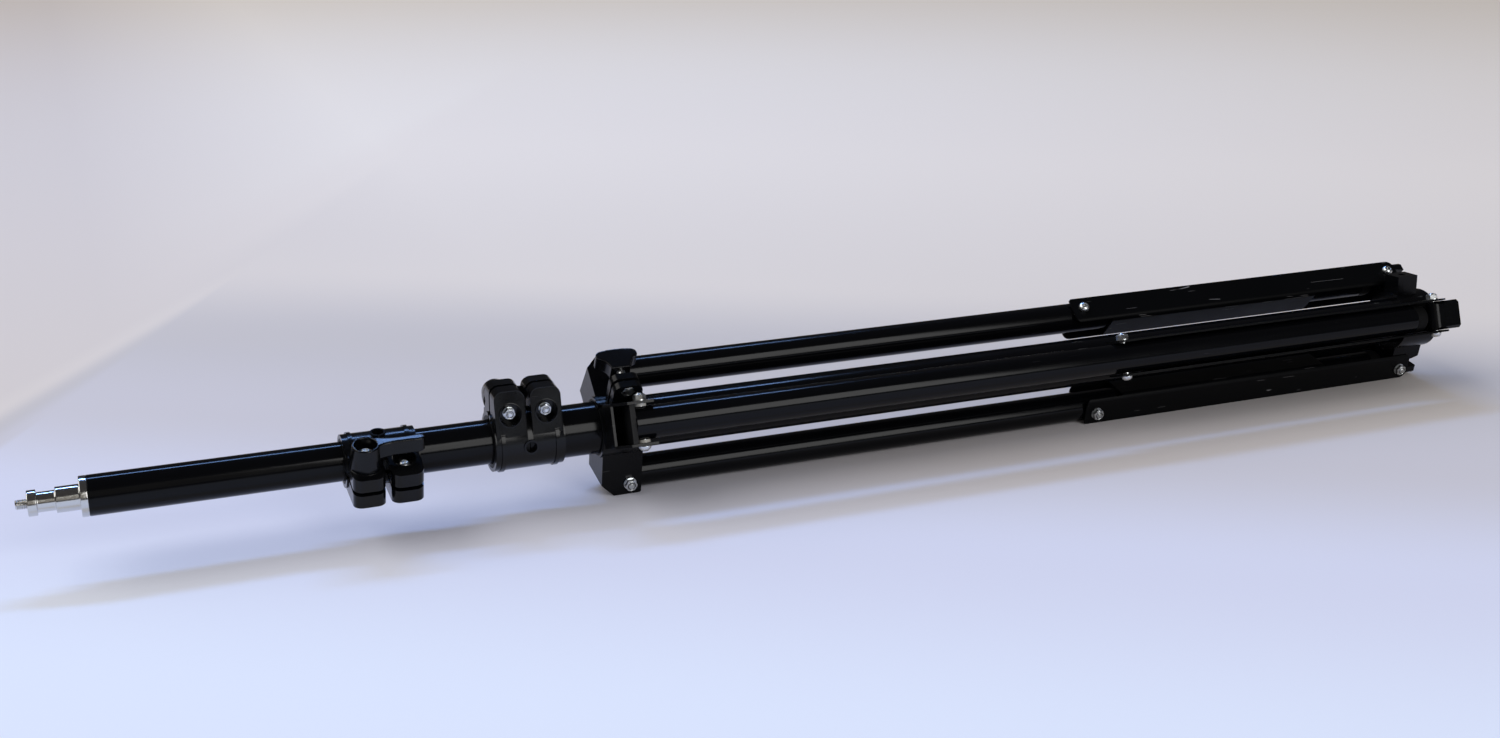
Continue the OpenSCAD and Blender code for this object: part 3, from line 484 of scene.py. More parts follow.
# A threaded rod up Z from 0: a cylinder whose radius follows a triangle wave along the helix, with a
# chamfered tip.
def makeThreadTree():
    tree, start, end = geometryTree(
        "thread", {"Radius": 3.0, "Length": 6.0, "Pitch": 1.0, "Depth": 0.5, "Tip": 0.6})
    pitches = mathNode(tree, "DIVIDE", start["Length"], start["Pitch"])
    rings = mathNode(tree, "MULTIPLY", pitches, fastenerSet["threadRings"])
    rod = addNode(tree, "GeometryNodeMeshCylinder", {"Vertices": fastenerSet["threadSides"], "Radius": 1.0})
    join(tree, (rings, rod.inputs["Side Segments"]), (start["Length"], rod.inputs["Depth"]))
    upright = raised(tree, rod.outputs["Mesh"], mathNode(tree, "MULTIPLY", start["Length"], 0.5))
    place = addNode(tree, "GeometryNodeInputPosition")
    parts = addNode(tree, "ShaderNodeSeparateXYZ")
    join(tree, (place.outputs[0], parts.inputs[0]))
    angle = mathNode(tree, "ARCTAN2", parts.outputs["Y"], parts.outputs["X"])
    turn = mathNode(tree, "DIVIDE", angle, 2 * math.pi)
    phase = mathNode(tree, "SUBTRACT", mathNode(tree, "DIVIDE", parts.outputs["Z"], start["Pitch"]), turn)
    wave = mathNode(tree, "MULTIPLY", mathNode(tree, "PINGPONG", phase, 0.5), 2)
    cut = mathNode(tree, "MULTIPLY", wave, start["Depth"])
    left = mathNode(tree, "SUBTRACT", start["Length"], parts.outputs["Z"])
    tip = mathNode(tree, "MAXIMUM", mathNode(tree, "SUBTRACT", start["Tip"], left), 0)
    radius = mathNode(tree, "SUBTRACT", start["Radius"], mathNode(tree, "MAXIMUM", cut, tip))
    widths = addNode(tree, "ShaderNodeCombineXYZ", {"Z": 1.0})
    join(tree, (radius, widths.inputs["X"]), (radius, widths.inputs["Y"]))
    moved = addNode(tree, "ShaderNodeVectorMath", operation="MULTIPLY")
    shape = addNode(tree, "GeometryNodeSetPosition")
    join(tree, (place.outputs[0], moved.inputs[0]), (widths.outputs[0], moved.inputs[1]),
         (upright, shape.inputs["Geometry"]), (moved.outputs[0], shape.inputs["Position"]))
    finishTree(tree, shape.outputs[0], end, materials["zinc_steel"])
    return tree


# A hex between two heights: a prism whose top corners a cone cuts off.
def addHex(tree, start):
    share, sides = fastenerSet["hexShare"], fastenerSet["roundSides"]
    height = mathNode(tree, "SUBTRACT", start["Height"], start["Thickness"])
    topRadius = mathNode(tree, "MULTIPLY", start["Flats"], share["top"])
    slope = mathNode(tree, "MULTIPLY", height, fastenerSet["slope"])
    prism = addNode(tree, "GeometryNodeMeshCylinder", {"Vertices": 6})
    cone = addNode(tree, "GeometryNodeMeshCone", {"Vertices": sides})
    crown = addNode(tree, "GeometryNodeMeshBoolean", operation="INTERSECT", solver="EXACT")
    join(tree, (mathNode(tree, "MULTIPLY", start["Flats"], share["corner"]), prism.inputs["Radius"]),
         (height, prism.inputs["Depth"]), (height, cone.inputs["Depth"]),
         (topRadius, cone.inputs["Radius Top"]),
         (mathNode(tree, "ADD", topRadius, slope), cone.inputs["Radius Bottom"]))
    upright = raised(tree, prism.outputs["Mesh"], mathNode(tree, "MULTIPLY", height, 0.5))
    join(tree, (upright, crown.inputs["Mesh 2"]), (cone.outputs["Mesh"], crown.inputs["Mesh 2"]))
    return raised(tree, crown.outputs["Mesh"], start["Thickness"])


# A washer up Z from 0.
def addWasher(tree, start):
    washer = addNode(tree, "GeometryNodeMeshCylinder", {"Vertices": fastenerSet["roundSides"]})
    join(tree, (start["Washer"], washer.inputs["Radius"]), (start["Thickness"], washer.inputs["Depth"]))
    return raised(tree, washer.outputs["Mesh"], mathNode(tree, "MULTIPLY", start["Thickness"], 0.5))


# The bead round the hole in a nut's top.
def addBead(tree, start):
    circle = addNode(tree, "GeometryNodeCurvePrimitiveCircle", {"Resolution": fastenerSet["roundSides"]})
    bead = addNode(tree, "GeometryNodeCurvePrimitiveCircle", {"Resolution": fastenerSet["beadSides"]})
    ring = addNode(tree, "GeometryNodeCurveToMesh")
    radius = mathNode(tree, "MULTIPLY", start["Flats"], fastenerSet["hexShare"]["bead"])
    join(tree, (radius, circle.inputs["Radius"]), (start["Bead"], bead.inputs["Radius"]),
         (circle.outputs[0], ring.inputs["Curve"]), (bead.outputs[0], ring.inputs["Profile Curve"]))
    return raised(tree, ring.outputs[0], start["Height"])


# Nuts on washers with the bolt's end in them, at points whose Aim attribute says which way they face. Height
# counts from the face that the washer lies on to the top of the hex, and Proud from there to the bolt's end.
def makeFastenerTree(threadTree):
    tree, start, end = geometryTree("fastener", {
        "Flats": 7.6, "Height": 4.0, "Washer": 4.5, "Thickness": 0.8, "Bolt": 2.5, "Proud": 1.2, "Bead": 0.4,
        "Seed": 3,
    })
    bolt = addNode(tree, "GeometryNodeGroup", {"Pitch": 0.8, "Depth": 0.4, "Tip": 0.5}, node_tree=threadTree)
    join(tree, (start["Bolt"], bolt.inputs["Radius"]),
         (mathNode(tree, "ADD", start["Height"], start["Proud"]), bolt.inputs["Length"]))
    parts = addNode(tree, "GeometryNodeJoinGeometry")
    for part in (addWasher(tree, start), addHex(tree, start), addBead(tree, start), bolt.outputs[0]):
        join(tree, (part, parts.inputs[0]))
    aim = addNode(tree, "GeometryNodeInputNamedAttribute", {"Name": "Aim"}, data_type="FLOAT_VECTOR")
    turn = addNode(tree, "FunctionNodeAlignRotationToVector", axis="Z")
    spin = addNode(tree, "FunctionNodeRotateRotation", rotation_space="LOCAL")
    twist = addNode(tree, "FunctionNodeAxisAngleToRotation", {"Axis": (0, 0, 1)})
    chance = addNode(tree, "FunctionNodeRandomValue", data_type="FLOAT")
    points = addNode(tree, "GeometryNodeInstanceOnPoints")
    join(tree, (start["Seed"], chance.inputs["Seed"]), (aim.outputs[0], turn.inputs["Vector"]),
         (turn.outputs[0], spin.inputs["Rotation"]), (chance.outputs[1], twist.inputs["Angle"]),
         (twist.outputs[0], spin.inputs["Rotate By"]), (start["Geometry"], points.inputs["Points"]),
         (parts.outputs[0], points.inputs["Instance"]), (spin.outputs[0], points.inputs["Rotation"]))
    finishTree(tree, points.outputs[0], end, materials["zinc_steel"])
    return tree


tubeTree, threadTree = makeTubeTree(), makeThreadTree()
fastenerTree = makeFastenerTree(threadTree)


# Fasteners at (place, aim) pairs, in the frame that the pairs are given in.
def fasteners(pairs, **size):
    base = bpy.data.meshes.new("fastenerPoints")
    base.from_pydata([place for place, aim in pairs], [], [])
    aims = base.attributes.new("Aim", "FLOAT_VECTOR", "POINT")
    for slot, (place, aim) in enumerate(pairs):
        aims.data[slot].vector = aim
    return grow(fastenerTree, size, base)


# A moulding: closed shapes that overlap grow into one skin, and its edges and inner corners go soft.
def melted(meshes, voxel, rounds):
    skin = modified(joinMeshes(meshes), "REMESH", mode="VOXEL", voxel_size=voxel)
    return modified(skin, "SMOOTH", factor=0.5, iterations=rounds)


# Corners of an (x, radius) profile rounded off, each by at most a share of the sides beside it.
def softProfile(points, radius, steps=3, share=0.45):
    soft = [points[0]]
    for before, corner, after in zip(points, points[1:], points[2:]):
        c = Vector(corner)
        a, b = Vector(before) - c, Vector(after) - c
        reach = min(radius, a.length * share, b.length * share)
        a, b = c + a.normalized() * reach, c + b.normalized() * reach
        for i in range(steps + 1):
            t = i / steps
            soft.append(tuple(a * (1 - t) ** 2 + c * 2 * t * (1 - t) + b * t * t))
    return soft + [points[-1]]


# tubes

tubes = {
    "wall": 1.3, "legWall": 1.2, "edge": 0.35, "sides": 128,
    "lower": {"from": -70.4, "to": 671.8, "radius": 17.5, "body": "root"},
    "middle": {"from": -165.7, "to": 659.8, "radius": 14.7, "body": "middle_stage"},
    "top": {"from": -340.9, "to": 647.8, "radius": 12.7, "body": "top_stage"},
    "leg": {"from": -6.6, "to": 631.3, "radius": 11.0},
}


def tubeMesh(size, wall):
    return grow(tubeTree, {
        "Start": size["from"], "Length": size["to"] - size["from"], "Radius": size["radius"],
        "Wall": wall, "Edge": tubes["edge"], "Sides": tubes["sides"],
    })


for stage in ("lower", "middle", "top"):
    size = tubes[stage]
    mesh = placed(tubeMesh(size, tubes["wall"]), columnFrame)
    addPiece(f"{stage}Tube", mesh, size["body"], "gloss_black_tube", [f"{stage}_tube"])
for leg in legNames:
    mesh = placed(tubeMesh(tubes["leg"], tubes["legWall"]), legFrame(leg))
    addPiece(f"legTube.{leg}", mesh, f"leg_{leg}", "gloss_black_tube", [f"leg_tube_{leg}"])
print("tubes made")

# spigot: flange, cylinder, neck and disc turned in one piece, with the stud's thread

spigot = {
    "profile": (
        (-338.5, 0), (-338.5, 11.3), (-340.85, 11.3), (-340.85, 12.7), (-345.3, 12.7), (-345.3, 8.0),
        (-359.1, 8.0), (-359.1, 6.2), (-369.6, 6.2), (-369.6, 8.0), (-375.0, 8.0), (-375.0, 2.9),
        (-374.5, 2.4), (-374.5, 0),
    ),
    "edge": 0.55, "studFrom": -374.8,
    "stud": {"Radius": 3.175, "Length": 6.9, "Pitch": 1.27, "Depth": 0.62, "Tip": 0.7},
}
body = placed(revolve(softProfile(spigot["profile"], spigot["edge"])), columnFrame)
addPiece("spigotBody", body, "top_stage", "polished_metal", ["spigot"], hard="turned")

# The turn that takes X to Z takes the stud's Z to -X, which points out of the column's end.
outward = columnFrame @ Matrix.Translation((spigot["studFrom"], 0, 0)) @ xToZ
stud = placed(grow(threadTree, spigot["stud"]), outward)
addPiece("spigotStud", stud, "top_stage", "polished_metal", ["spigot_stud"])
print("spigot made")

# bolts: a domed head with a hexagon socket at one end, a nut on a washer at the other

bolts = {
    "nut": {
        "Flats": 7.6, "Height": 4.0, "Washer": 4.5, "Thickness": 0.7, "Bolt": 2.0, "Proud": 1.1, "Bead": 0.42,
    },
    "smallNut": {
        "Flats": 6.8, "Height": 4.0, "Washer": 3.9, "Thickness": 0.5, "Bolt": 1.8, "Proud": 0.9, "Bead": 0.36,
    },
    "head": (
        (0, 0), (0, 4.1), (0.7, 4.25), (2.0, 3.8), (2.9, 2.9), (3.4, 1.9), (3.4, 1.55), (1.5, 1.45), (1.5, 0),
    ),
    "headEdge": 0.35, "headSides": 48, "socketFrom": 0.1, "socketTo": 1.8, "shank": 2.5, "shankSides": 32,
    "pivotHalf": 14.8, "braceHalf": 13.0, "braceAt": 370.0, "hubAt": 656.0, "seed": 7, "seedStep": 10,
}

# rise lifts an insert's edge into the bead, and width is its share of the bead's radius. dip sinks the
# middle, and gap is how far from the bolt the slope ends.
inserts = {"rise": 0.55, "width": 0.9, "dip": 0.25, "gap": 0.15}


# A domed head up Z from 0. The points round its socket move out to a hexagon.
def domedHead():
    mesh = placed(revolve(softProfile(bolts["head"], bolts["headEdge"]), bolts["headSides"]), xToZ)
    sixth = math.pi / 3
    for vertex in mesh.vertices:
        x, y, z = vertex.co
        if bolts["socketFrom"] < math.hypot(x, y) < bolts["socketTo"]:
            shrink = math.cos(math.atan2(y, x) % sixth - sixth / 2)
            vertex.co = (x / shrink, y / shrink, z)
    return mesh


# A plain rod along Y.
def shank(start, end, radius=bolts["shank"]):
    return placed(revolve([(start, 0), (start, radius), (end, radius), (end, 0)], bolts["shankSides"]), xToY)


# The dark inserts in the nuts' tops. The nuts lie at these points and face along Y or against it.
def insertMesh(points, size, aim):
    rings = []
    radius = size["Flats"] * fastenerSet["hexShare"]["bead"] * inserts["width"]
    inner = size["Bolt"] + inserts["gap"]
    for x, y, z in points:
        seat = y + aim * size["Thickness"]
        high = y + aim * (size["Height"] + size["Bead"] * inserts["rise"])
        middle = high - aim * inserts["dip"]
        profile = [(seat, 0), (seat, radius), (high, radius), (middle, inner), (middle, 0)]
        rings.append(placed(revolve(profile, bolts["shankSides"]), Matrix.Translation((x, 0, z)) @ xToY))
    return joinMeshes(rings)


def crossBolt(x, half, seed):
    head = placed(domedHead(), Matrix.Translation((0, -half, 0)) @ zToMinusY)
    nut = fasteners([((0, half, 0), (0, 1, 0))], Seed=seed + bolts["seed"], **bolts["nut"])
    return placed(joinMeshes([head, nut, shank(-half, half)]), Matrix.Translation((x, 0, 0)))


for seed, leg in enumerate(legNames):
    for name, x, half, body, node in (
        ("pivotBolt", 0, bolts["pivotHalf"], "collar", "leg_pivot_bolt"),
        ("braceBolt", bolts["braceAt"], bolts["braceHalf"], f"leg_{leg}", "brace_bolt"),
        ("hubBolt", bolts["hubAt"], bolts["braceHalf"], f"brace_{leg}", "hub_bolt"),
    ):
        mesh = placed(crossBolt(x, half, seed * bolts["seedStep"] + int(x)), legFrame(leg))
        addPiece(f"{name}.{leg}", mesh, body, "zinc_steel", [f"{node}_{leg}"])
        mesh = placed(insertMesh([(x, half, 0)], bolts["nut"], 1), legFrame(leg))
        addPiece(f"{name}Insert.{leg}", mesh, body, "black_nylon", [f"{node}_{leg}"])

# x, angle and boltRadius place a clamp's bolts, and sleeve and lean its lugs' flat faces. Along the bolts lie
# the wing's low and top, the place where its boss goes wide, and the fixed head's seat.
clampSet = {
    "Lower": {
        "x": -70.4, "angle": 86, "boltRadius": 23.1, "sleeve": 20.0, "lean": 14.62,
        "wide": 13.75, "low": 21.6, "top": 30.1, "headSeat": 8.9,
        "body": "root", "knobBody": "lower_knob", "node": "lower",
    },
    "Upper": {
        "x": -165.7, "angle": -16, "boltRadius": 22.0, "sleeve": 17.2, "lean": 10.4,
        "wide": 10.95, "low": 18.8, "top": 27.3, "headSeat": 6.4,
        "body": "middle_stage", "knobBody": "upper_knob", "node": "upper",
    },
    "pitch": 24.0, "nutSeat": 9.0, "bowl": 8.0, "lugFace": 10.6, "headGap": 0.1, "shank": 2.1, "shankInto": 1,
    "seed": 40,
}
for seed, name in enumerate(("Lower", "Upper")):
    size = clampSet[name]
    place = about(size["angle"], size["x"], size["boltRadius"])
    half = clampSet["pitch"] / 2
    nodes = [f"{size['node']}_clamp_nuts"]
    points = [(side * half, -clampSet["nutSeat"], 0) for side in (-1, 1)]
    pairs = [(point, (0, -1, 0)) for point in points]
    mesh = placed(fasteners(pairs, Seed=seed + clampSet["seed"], **bolts["smallNut"]), place)
    addPiece(f"clampNuts{name}", mesh, size["body"], "zinc_steel", nodes)
    mesh = placed(insertMesh(points, bolts["smallNut"], -1), place)
    addPiece(f"clampInserts{name}", mesh, size["body"], "black_nylon", nodes)
    parts = []
    knobSeat = size["top"] - clampSet["bowl"] + clampSet["headGap"]
    for x, seat in ((-half, knobSeat), (half, size["headSeat"])):
        parts.append(placed(domedHead(), Matrix.Translation((x, seat, 0)) @ zToY))
        rod = shank(-clampSet["nutSeat"], seat + clampSet["shankInto"], clampSet["shank"])
        parts.append(placed(rod, Matrix.Translation((x, 0, 0))))
    mesh = placed(joinMeshes(parts), place)
    addPiece(f"clampBolts{name}", mesh, size["body"], "zinc_steel", [f"{size['node']}_clamp_bolts"])
print("bolts and nuts made")

# wing knobs: a bowl on a foot, and a wing that leaves it at the column's side and thins towards its top

wingSet = {
    "start": 7.0, "reach": 37.0, "neck": 11.0, "neckOut": 2.3, "near": (-4.4, -1.2), "far": (4.4, 4.0),
    "round": 0.5, "grips": (16.0, 29.5), "gripPitch": 1.8, "gripDepth": 0.5, "points": 72, "tipPoints": 12,
    "voxel": 0.36, "soft": 4,
}

# the bowl's radii from its hole to its waist and over its rim, and how far two of them lie below the top
bowlSet = {
    "hole": 2.65, "foot": 8.2, "widest": 10.9, "waist": 10.1, "shoulder": 8.5, "shoulderDrop": 0.6,
    "rim": 8.0, "lip": 7.2, "inside": 6.8, "insideDrop": 0.8, "floor": 6.3, "sides": 72,
}


# The wing's outline at height z. share says how far up the wing that is, and inset draws the outline in.
def wingOutline(z, share, inset):
    near = wingSet["near"][0] * (1 - share) + wingSet["near"][1] * share + inset
    far = wingSet["far"][0] * (1 - share) + wingSet["far"][1] * share - inset
    centre, radius = (near + far) / 2, (far - near) / 2
    last = wingSet["reach"] - inset - radius
    low, high = wingSet["grips"]
    sides = []
    for i in range(wingSet["points"]):
        x = wingSet["start"] + (last - wingSet["start"]) * i / (wingSet["points"] - 1)
        t = max(0, 1 - (x - wingSet["start"]) / wingSet["neck"])
        out = wingSet["neckOut"] * t * t
        if low < x < high:
            wave = 0.5 - 0.5 * math.cos(2 * math.pi * (x - low) / wingSet["gripPitch"])
            out -= wingSet["gripDepth"] * wave
        sides.append((x, radius + out))
    turns = [math.pi * i / wingSet["tipPoints"] for i in range(1, wingSet["tipPoints"])]
    nearSide = [(x, centre - r, z) for x, r in sides]
    tip = [(last + radius * math.sin(a), centre - radius * math.cos(a), z) for a in turns]
    farSide = [(x, centre + r, z) for x, r in reversed(sides)]
    return nearSide + tip + farSide


def wingMesh(low, top):
    soft = wingSet["round"]
    rows = [(low, soft), (low + soft, 0.0), ((low + top) / 2, 0.0), (top - soft, 0.0), (top, soft)]
    return skinOf([wingOutline(z, (z - low) / (top - low), inset) for z, inset in rows])


def bowlMesh(wide, low, top):
    face, floor, hole = clampSet["lugFace"], top - clampSet["bowl"], bowlSet["hole"]
    profile = [
        (face, hole), (face, bowlSet["foot"]), (wide, bowlSet["foot"]), (wide, bowlSet["widest"]),
        (low, bowlSet["waist"]), (top - bowlSet["shoulderDrop"], bowlSet["shoulder"]), (top, bowlSet["rim"]),
        (top, bowlSet["lip"]), (top - bowlSet["insideDrop"], bowlSet["inside"]), (floor, bowlSet["floor"]),
        (floor, hole),
    ]
    return placed(revolve(profile, bowlSet["sides"], closed=True), xToZ)


for name in ("Lower", "Upper"):
    size = clampSet[name]
    shapes = [bowlMesh(size["wide"], size["low"], size["top"]), wingMesh(size["low"], size["top"])]
    mesh = melted(shapes, wingSet["voxel"], wingSet["soft"])
    place = about(size["angle"], size["x"] - clampSet["pitch"] / 2, size["boltRadius"]) @ zToY
    nodes = [f"{size['node']}_wing_knob"]
    addPiece(f"wing{name}", placed(mesh, place), size["knobBody"], "black_plastic", nodes, hard="soft")
print("wing knobs made")

# clamps: copies of the CAD ones, with the lugs' faces sunk inside a rim

# A face is sunk where it lies above a height, faces square to the lugs' plane, and is near to it.
clampLook = {
    "edge": 1.1, "rim": 0.7, "depth": 0.5, "above": 9.0, "square": 0.9995, "near": 0.06, "cutMerge": 0.001,
}


# Sinks the lugs' flat faces, which lie in leaning planes that touch the sleeve, and leaves a rim round them.
def sinkFaces(mesh, place, sleeve, lean):
    work = bmesh.new()
    work.from_mesh(mesh)
    turn = place.to_3x3()
    up = (turn @ Vector((0, 0, 1))).normalized()
    start = place @ Vector((0, 0, clampLook["above"]))
    parts = work.verts[:] + work.edges[:] + work.faces[:]
    bmesh.ops.bisect_plane(work, geom=parts, dist=clampLook["cutMerge"] * mm, plane_co=start, plane_no=up)
    for side in (-1, 1):
        normal = (turn @ Vector((0, side * math.cos(lean), math.sin(lean)))).normalized()
        flat = []
        for face in work.faces:
            middle = face.calc_center_median()
            away = abs((middle - place.translation).dot(normal) - sleeve * mm)
            square = face.normal.dot(normal) > clampLook["square"]
            if square and (middle - start).dot(up) > 0 and away < clampLook["near"] * mm:
                flat.append(face)
        rim, depth = clampLook["rim"] * mm, clampLook["depth"] * mm
        bmesh.ops.inset_region(work, faces=flat, thickness=rim, depth=-depth)
    work.to_mesh(mesh)
    work.free()


for name in ("Lower", "Upper"):
    size = clampSet[name]
    mesh = softCopy(f"{size['node']}_clamp", clampLook["edge"])
    sinkFaces(mesh, about(size["angle"], size["x"]), size["sleeve"], math.radians(size["lean"]))
    addPiece(f"clamp{name}", mesh, size["body"], "black_plastic", [f"{size['node']}_clamp"], hard="soft")
print("clamps made")

# T-knob: a wide soft head whose sides hollow in to a narrow foot

tKnob = {
    "angle": 61, "x": -5.0, "radius": 38.0, "low": 12.1, "half": 14.3, "height": 17.2, "corner": 2.4,
    "cornerCut": (0.35, 0.3), "hollow": 10.5, "hollowSteps": 16, "foot": 6.9, "thick": 5.3,
    "crown": 1.8, "crownAt": (0.8, 0.55, 0.3), "voxel": 0.4, "soft": 12,
}


def tKnobMesh():
    half, foot, hollow, corner, high = (tKnob[k] for k in ("half", "foot", "hollow", "corner", "height"))
    crown, (cutX, cutY), steps = tKnob["crown"], tKnob["cornerCut"], tKnob["hollowSteps"]
    centre = (half * half + hollow * hollow - foot * foot) / 2 / (half - foot)
    radius = centre - foot
    reach = math.asin(hollow / radius)
    turns = [reach * i / steps for i in range(steps + 1)]
    side = [(centre - radius * math.cos(a), radius * math.sin(a)) for a in turns]
    side += [(half, high - corner - crown), (half - corner * cutX, high - corner * cutY - crown)]
    side += [(half * t, high - crown * t * t) for t in tKnob["crownAt"]]
    outline = side + [(0, high)] + [(-x, y) for x, y in reversed(side)]
    rings = [[(x, y, z) for x, y in outline] for z in (-tKnob["thick"], tKnob["thick"])]
    return melted([skinOf(rings)], tKnob["voxel"], tKnob["soft"])


place = about(tKnob["angle"], tKnob["x"], tKnob["radius"]) @ Matrix.Translation((0, tKnob["low"], 0))
addPiece("tKnob", placed(tKnobMesh(), place), "collar_knob", "black_plastic", ["t_knob"], hard="soft")
print("T-knob made")

# spacers beside the legs' pivots

spacers = {"radius": 4.0, "hole": 2.6, "from": 11.0, "to": 12.85, "sides": 48}
for leg in legNames:
    hole, radius = spacers["hole"], spacers["radius"]
    rings = []
    for side in (-1, 1):
        a, b = side * spacers["from"], side * spacers["to"]
        ring = revolve([(a, hole), (a, radius), (b, radius), (b, hole)], spacers["sides"], closed=True)
        rings.append(placed(ring, xToY))
    mesh = placed(joinMeshes(rings), legFrame(leg))
    addPiece(f"spacers.{leg}", mesh, "collar", "white_nylon", [f"leg_spacers_{leg}"])

# copies of the CAD's castings, liners, plugs, feet and braces: node, body, finish and the width of soft edges

dressed = {
    "linerLower": ("lower_clamp_liner", "root", "black_nylon", 0.2),
    "linerUpper": ("upper_clamp_liner", "middle_stage", "black_nylon", 0.2),
    "collar": ("leg_collar", "collar", "black_cast_metal", 0.5),
    "collarLiner": ("leg_collar_liner", "collar", "black_nylon", 0.2),
    "collarNut": ("leg_collar_nut", "collar", "zinc_steel", 0.2),
    "tScrew": ("t_knob_screw", "collar_knob", "zinc_steel", 0.2),
    "hubCast": ("hub", "root", "black_cast_metal", 0.6),
    "hubScrew": ("hub_screw", "root", "dark_steel", 0.2),
    "columnCap": ("column_cap", "root", "black_nylon", 0.3),
    "bushMiddle": ("middle_tube_bush", "middle_stage", "black_nylon", 0.2),
    "bushTop": ("top_tube_bush", "top_stage", "black_nylon", 0.2),
}
for leg in legNames:
    dressed[f"legPlug.{leg}"] = (f"leg_plug_{leg}", f"leg_{leg}", "black_nylon", 0.4)
    dressed[f"foot.{leg}"] = (f"foot_{leg}", f"leg_{leg}", "black_rubber", 0.3)
    dressed[f"brace.{leg}"] = (f"brace_{leg}", f"brace_{leg}", "black_sheet_steel", 0.25)
for name, (node, body, finish, width) in dressed.items():
    addPiece(name, softCopy(node, width), body, finish, [node], hard="soft")
print("spacers, castings, plugs, feet and braces made")

# camera, floor and light

# The camera's place is in metres, and its turns about X, Y and Z are in degrees.
cameraSet = {
    "place": (-0.47884, -1.04938, 0.45266), "turns": (71.6316, -0.0175, -21.8979),
    "lens": 41.69, "sensor": 36, "clip": (0.01, 60),
}
cameraData = bpy.data.cameras.new("camera")
cameraData.lens = cameraSet["lens"]
cameraData.sensor_width = cameraSet["sensor"]
cameraData.clip_start, cameraData.clip_end = cameraSet["clip"]
camera = bpy.data.objects.new("camera", cameraData)
camera.location = cameraSet["place"]
camera.rotation_euler = [math.radians(turn) for turn in cameraSet["turns"]]
scene.collection.objects.link(camera)
scene.camera = camera

# A sheet of paper whose colour holds painted light and shade: it turns from bluer light near the camera to
# grey, with a band of painted shade where the floor meets the backdrop, and then warm far from it, sooner on
# the left, and has painted shade far ahead on the left. ahead, side and across each hold a direction on the
# floor and the distance along it at the origin, and turn is how much ahead grows to the left of side.
floorSet = {
    "half": 14.0, "rough": 0.8, "specular": 0.1,
    "ahead": (0.523, 0.928, 1.1525), "side": (1.0, -0.496, 0.665), "across": (1.0, 0.0, 0.0),
    # the darker colour far ahead on the left, and where it fades in across and ahead, are painted shade
    "turn": -9.0, "paintedShade": (0.67, 0.615, 0.565), "paintedShadeAcross": (-0.08, -0.46), "paintedShadeAhead": (1.35, 1.8),
    # the ramp's first stop is bluer light painted near the camera, and its darkest middle stops are painted
    # shade where the floor meets the backdrop
    "ramp": (
        (0.75, (0.75, 0.815, 0.93)), (1.0, (0.68, 0.70, 0.81)), (1.2, (0.6, 0.58, 0.6)),
        (1.42, (0.56, 0.535, 0.525)), (1.65, (0.73, 0.675, 0.61)), (2.4, (0.8, 0.735, 0.65)),
        (3.3, (0.82, 0.76, 0.67)),
    ),
}
half = floorSet["half"]
floorMesh = bpy.data.meshes.new("floor")
corners = [(-half, -half, 0), (half, -half, 0), (half, half, 0), (-half, half, 0)]
floorMesh.from_pydata(corners, [], [(0, 1, 2, 3)])
floor = bpy.data.objects.new("floor", floorMesh)
scene.collection.objects.link(floor)


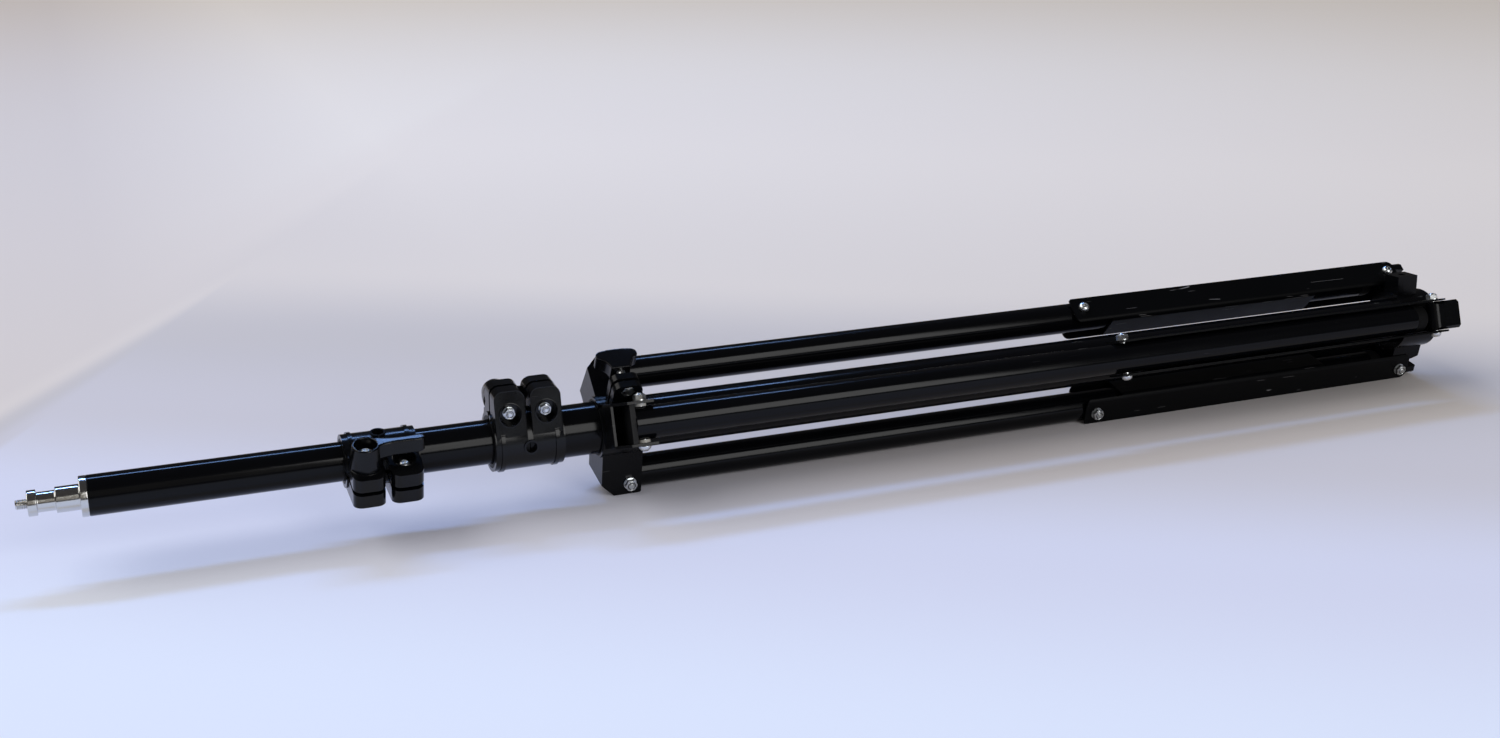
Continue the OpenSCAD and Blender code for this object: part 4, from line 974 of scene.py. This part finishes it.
def makeFloorMaterial():
    material = bpy.data.materials.new("paperFloor")
    material.use_nodes = True
    tree = material.node_tree
    shader = tree.nodes["Principled BSDF"]
    shader.inputs["Roughness"].default_value = floorSet["rough"]
    shader.inputs["Specular IOR Level"].default_value = floorSet["specular"]
    where = addNode(tree, "ShaderNodeTexCoord")
    reach = []
    for x, y, start in (floorSet["ahead"], floorSet["side"], floorSet["across"]):
        dot = addNode(tree, "ShaderNodeVectorMath", {1: (x, y, 0)}, operation="DOT_PRODUCT")
        join(tree, (where.outputs["Object"], dot.inputs[0]))
        reach.append(mathNode(tree, "ADD", dot.outputs["Value"], start))
    low, high = floorSet["ramp"][0][0], floorSet["ramp"][-1][0]
    # the ramp's colours are painted light and shade: bluer light near the camera and a band of painted shade
    # where the floor meets the backdrop
    ramp = addNode(tree, "ShaderNodeValToRGB")
    ramp.color_ramp.interpolation = "EASE"
    stops = ramp.color_ramp.elements
    for place, colour in floorSet["ramp"][1:-1]:
        stops.new((place - low) / (high - low)).color = (*colour, 1)
    stops[0].color = (*floorSet["ramp"][0][1], 1)
    stops[-1].color = (*floorSet["ramp"][-1][1], 1)
    left = mathNode(tree, "MULTIPLY", mathNode(tree, "MINIMUM", reach[1], 0.0), floorSet["turn"])
    far = mathNode(tree, "ADD", reach[0], left)
    # painted shade: the paper's colour is darkened where it lies far ahead and to the left
    paintedShadeLeft = mapped(tree, reach[2], *floorSet["paintedShadeAcross"])
    paintedShade = mathNode(tree, "MULTIPLY", paintedShadeLeft, mapped(tree, far, *floorSet["paintedShadeAhead"]))
    shade = addNode(tree, "ShaderNodeMix", {"B": (*floorSet["paintedShade"], 1)}, data_type="RGBA")
    join(tree, (mapped(tree, far, low, high), ramp.inputs[0]), (ramp.outputs[0], shade.inputs["A"]),
         (paintedShade, shade.inputs["Factor"]), (shade.outputs["Result"], shader.inputs["Base Color"]))
    return material


floorMesh.materials.append(makeFloorMaterial())

lamps = {
    "window": {
        "aim": (-0.2, 0.0, 0.0), "from": (0.1, 1.75, 2.45), "size": (2.1, 0.22),
        "power": 36, "colour": (0.27, 0.48, 1.0),
    },
    "front": {
        "aim": (0.1, 0.0, 0.0), "from": (1.74, -5.0, 2.5), "size": (2.6, 3.4),
        "power": 116, "colour": (1, 1, 1),
    },
    "left": {
        "aim": (0, 0, 0), "from": (-5.5, 1.2, 6.5), "size": (9.0, 5.5),
        "power": 430, "colour": (1.0, 0.975, 0.94),
    },
    "room": {
        "aim": (-0.5, 0.0, 0.0), "from": (-0.6, -2.6, 1.3), "size": (1.6, 1.6),
        "power": 1.6, "colour": (1, 0.93, 0.8),
    },
}
for name, lamp in lamps.items():
    data = bpy.data.lights.new(name, "AREA")
    data.shape = "RECTANGLE"
    data.size, data.size_y = lamp["size"]
    data.energy = lamp["power"]
    data.color = lamp["colour"]
    thing = bpy.data.objects.new(name, data)
    thing.location = lamp["from"]
    thing.rotation_euler = (Vector(lamp["from"]) - Vector(lamp["aim"])).to_track_quat("Z", "Y").to_euler()
    scene.collection.objects.link(thing)

# The room's soft light. Glossy surfaces see it darker than the floor does, as dark walls beyond the paper.
worldSet = {"colour": (1.0, 0.945, 0.95), "strength": 0.345, "glossy": 0.05}
world = bpy.data.worlds.new("room")
world.use_nodes = True
tree = world.node_tree
background = tree.nodes["Background"]
background.inputs["Color"].default_value = (*worldSet["colour"], 1)
ray = addNode(tree, "ShaderNodeLightPath")
seen = mapped(tree, ray.outputs["Is Glossy Ray"], 0.0, 1.0, worldSet["strength"], worldSet["glossy"])
join(tree, (seen, background.inputs["Strength"]))
scene.world = world
print("camera, floor and lamps set")
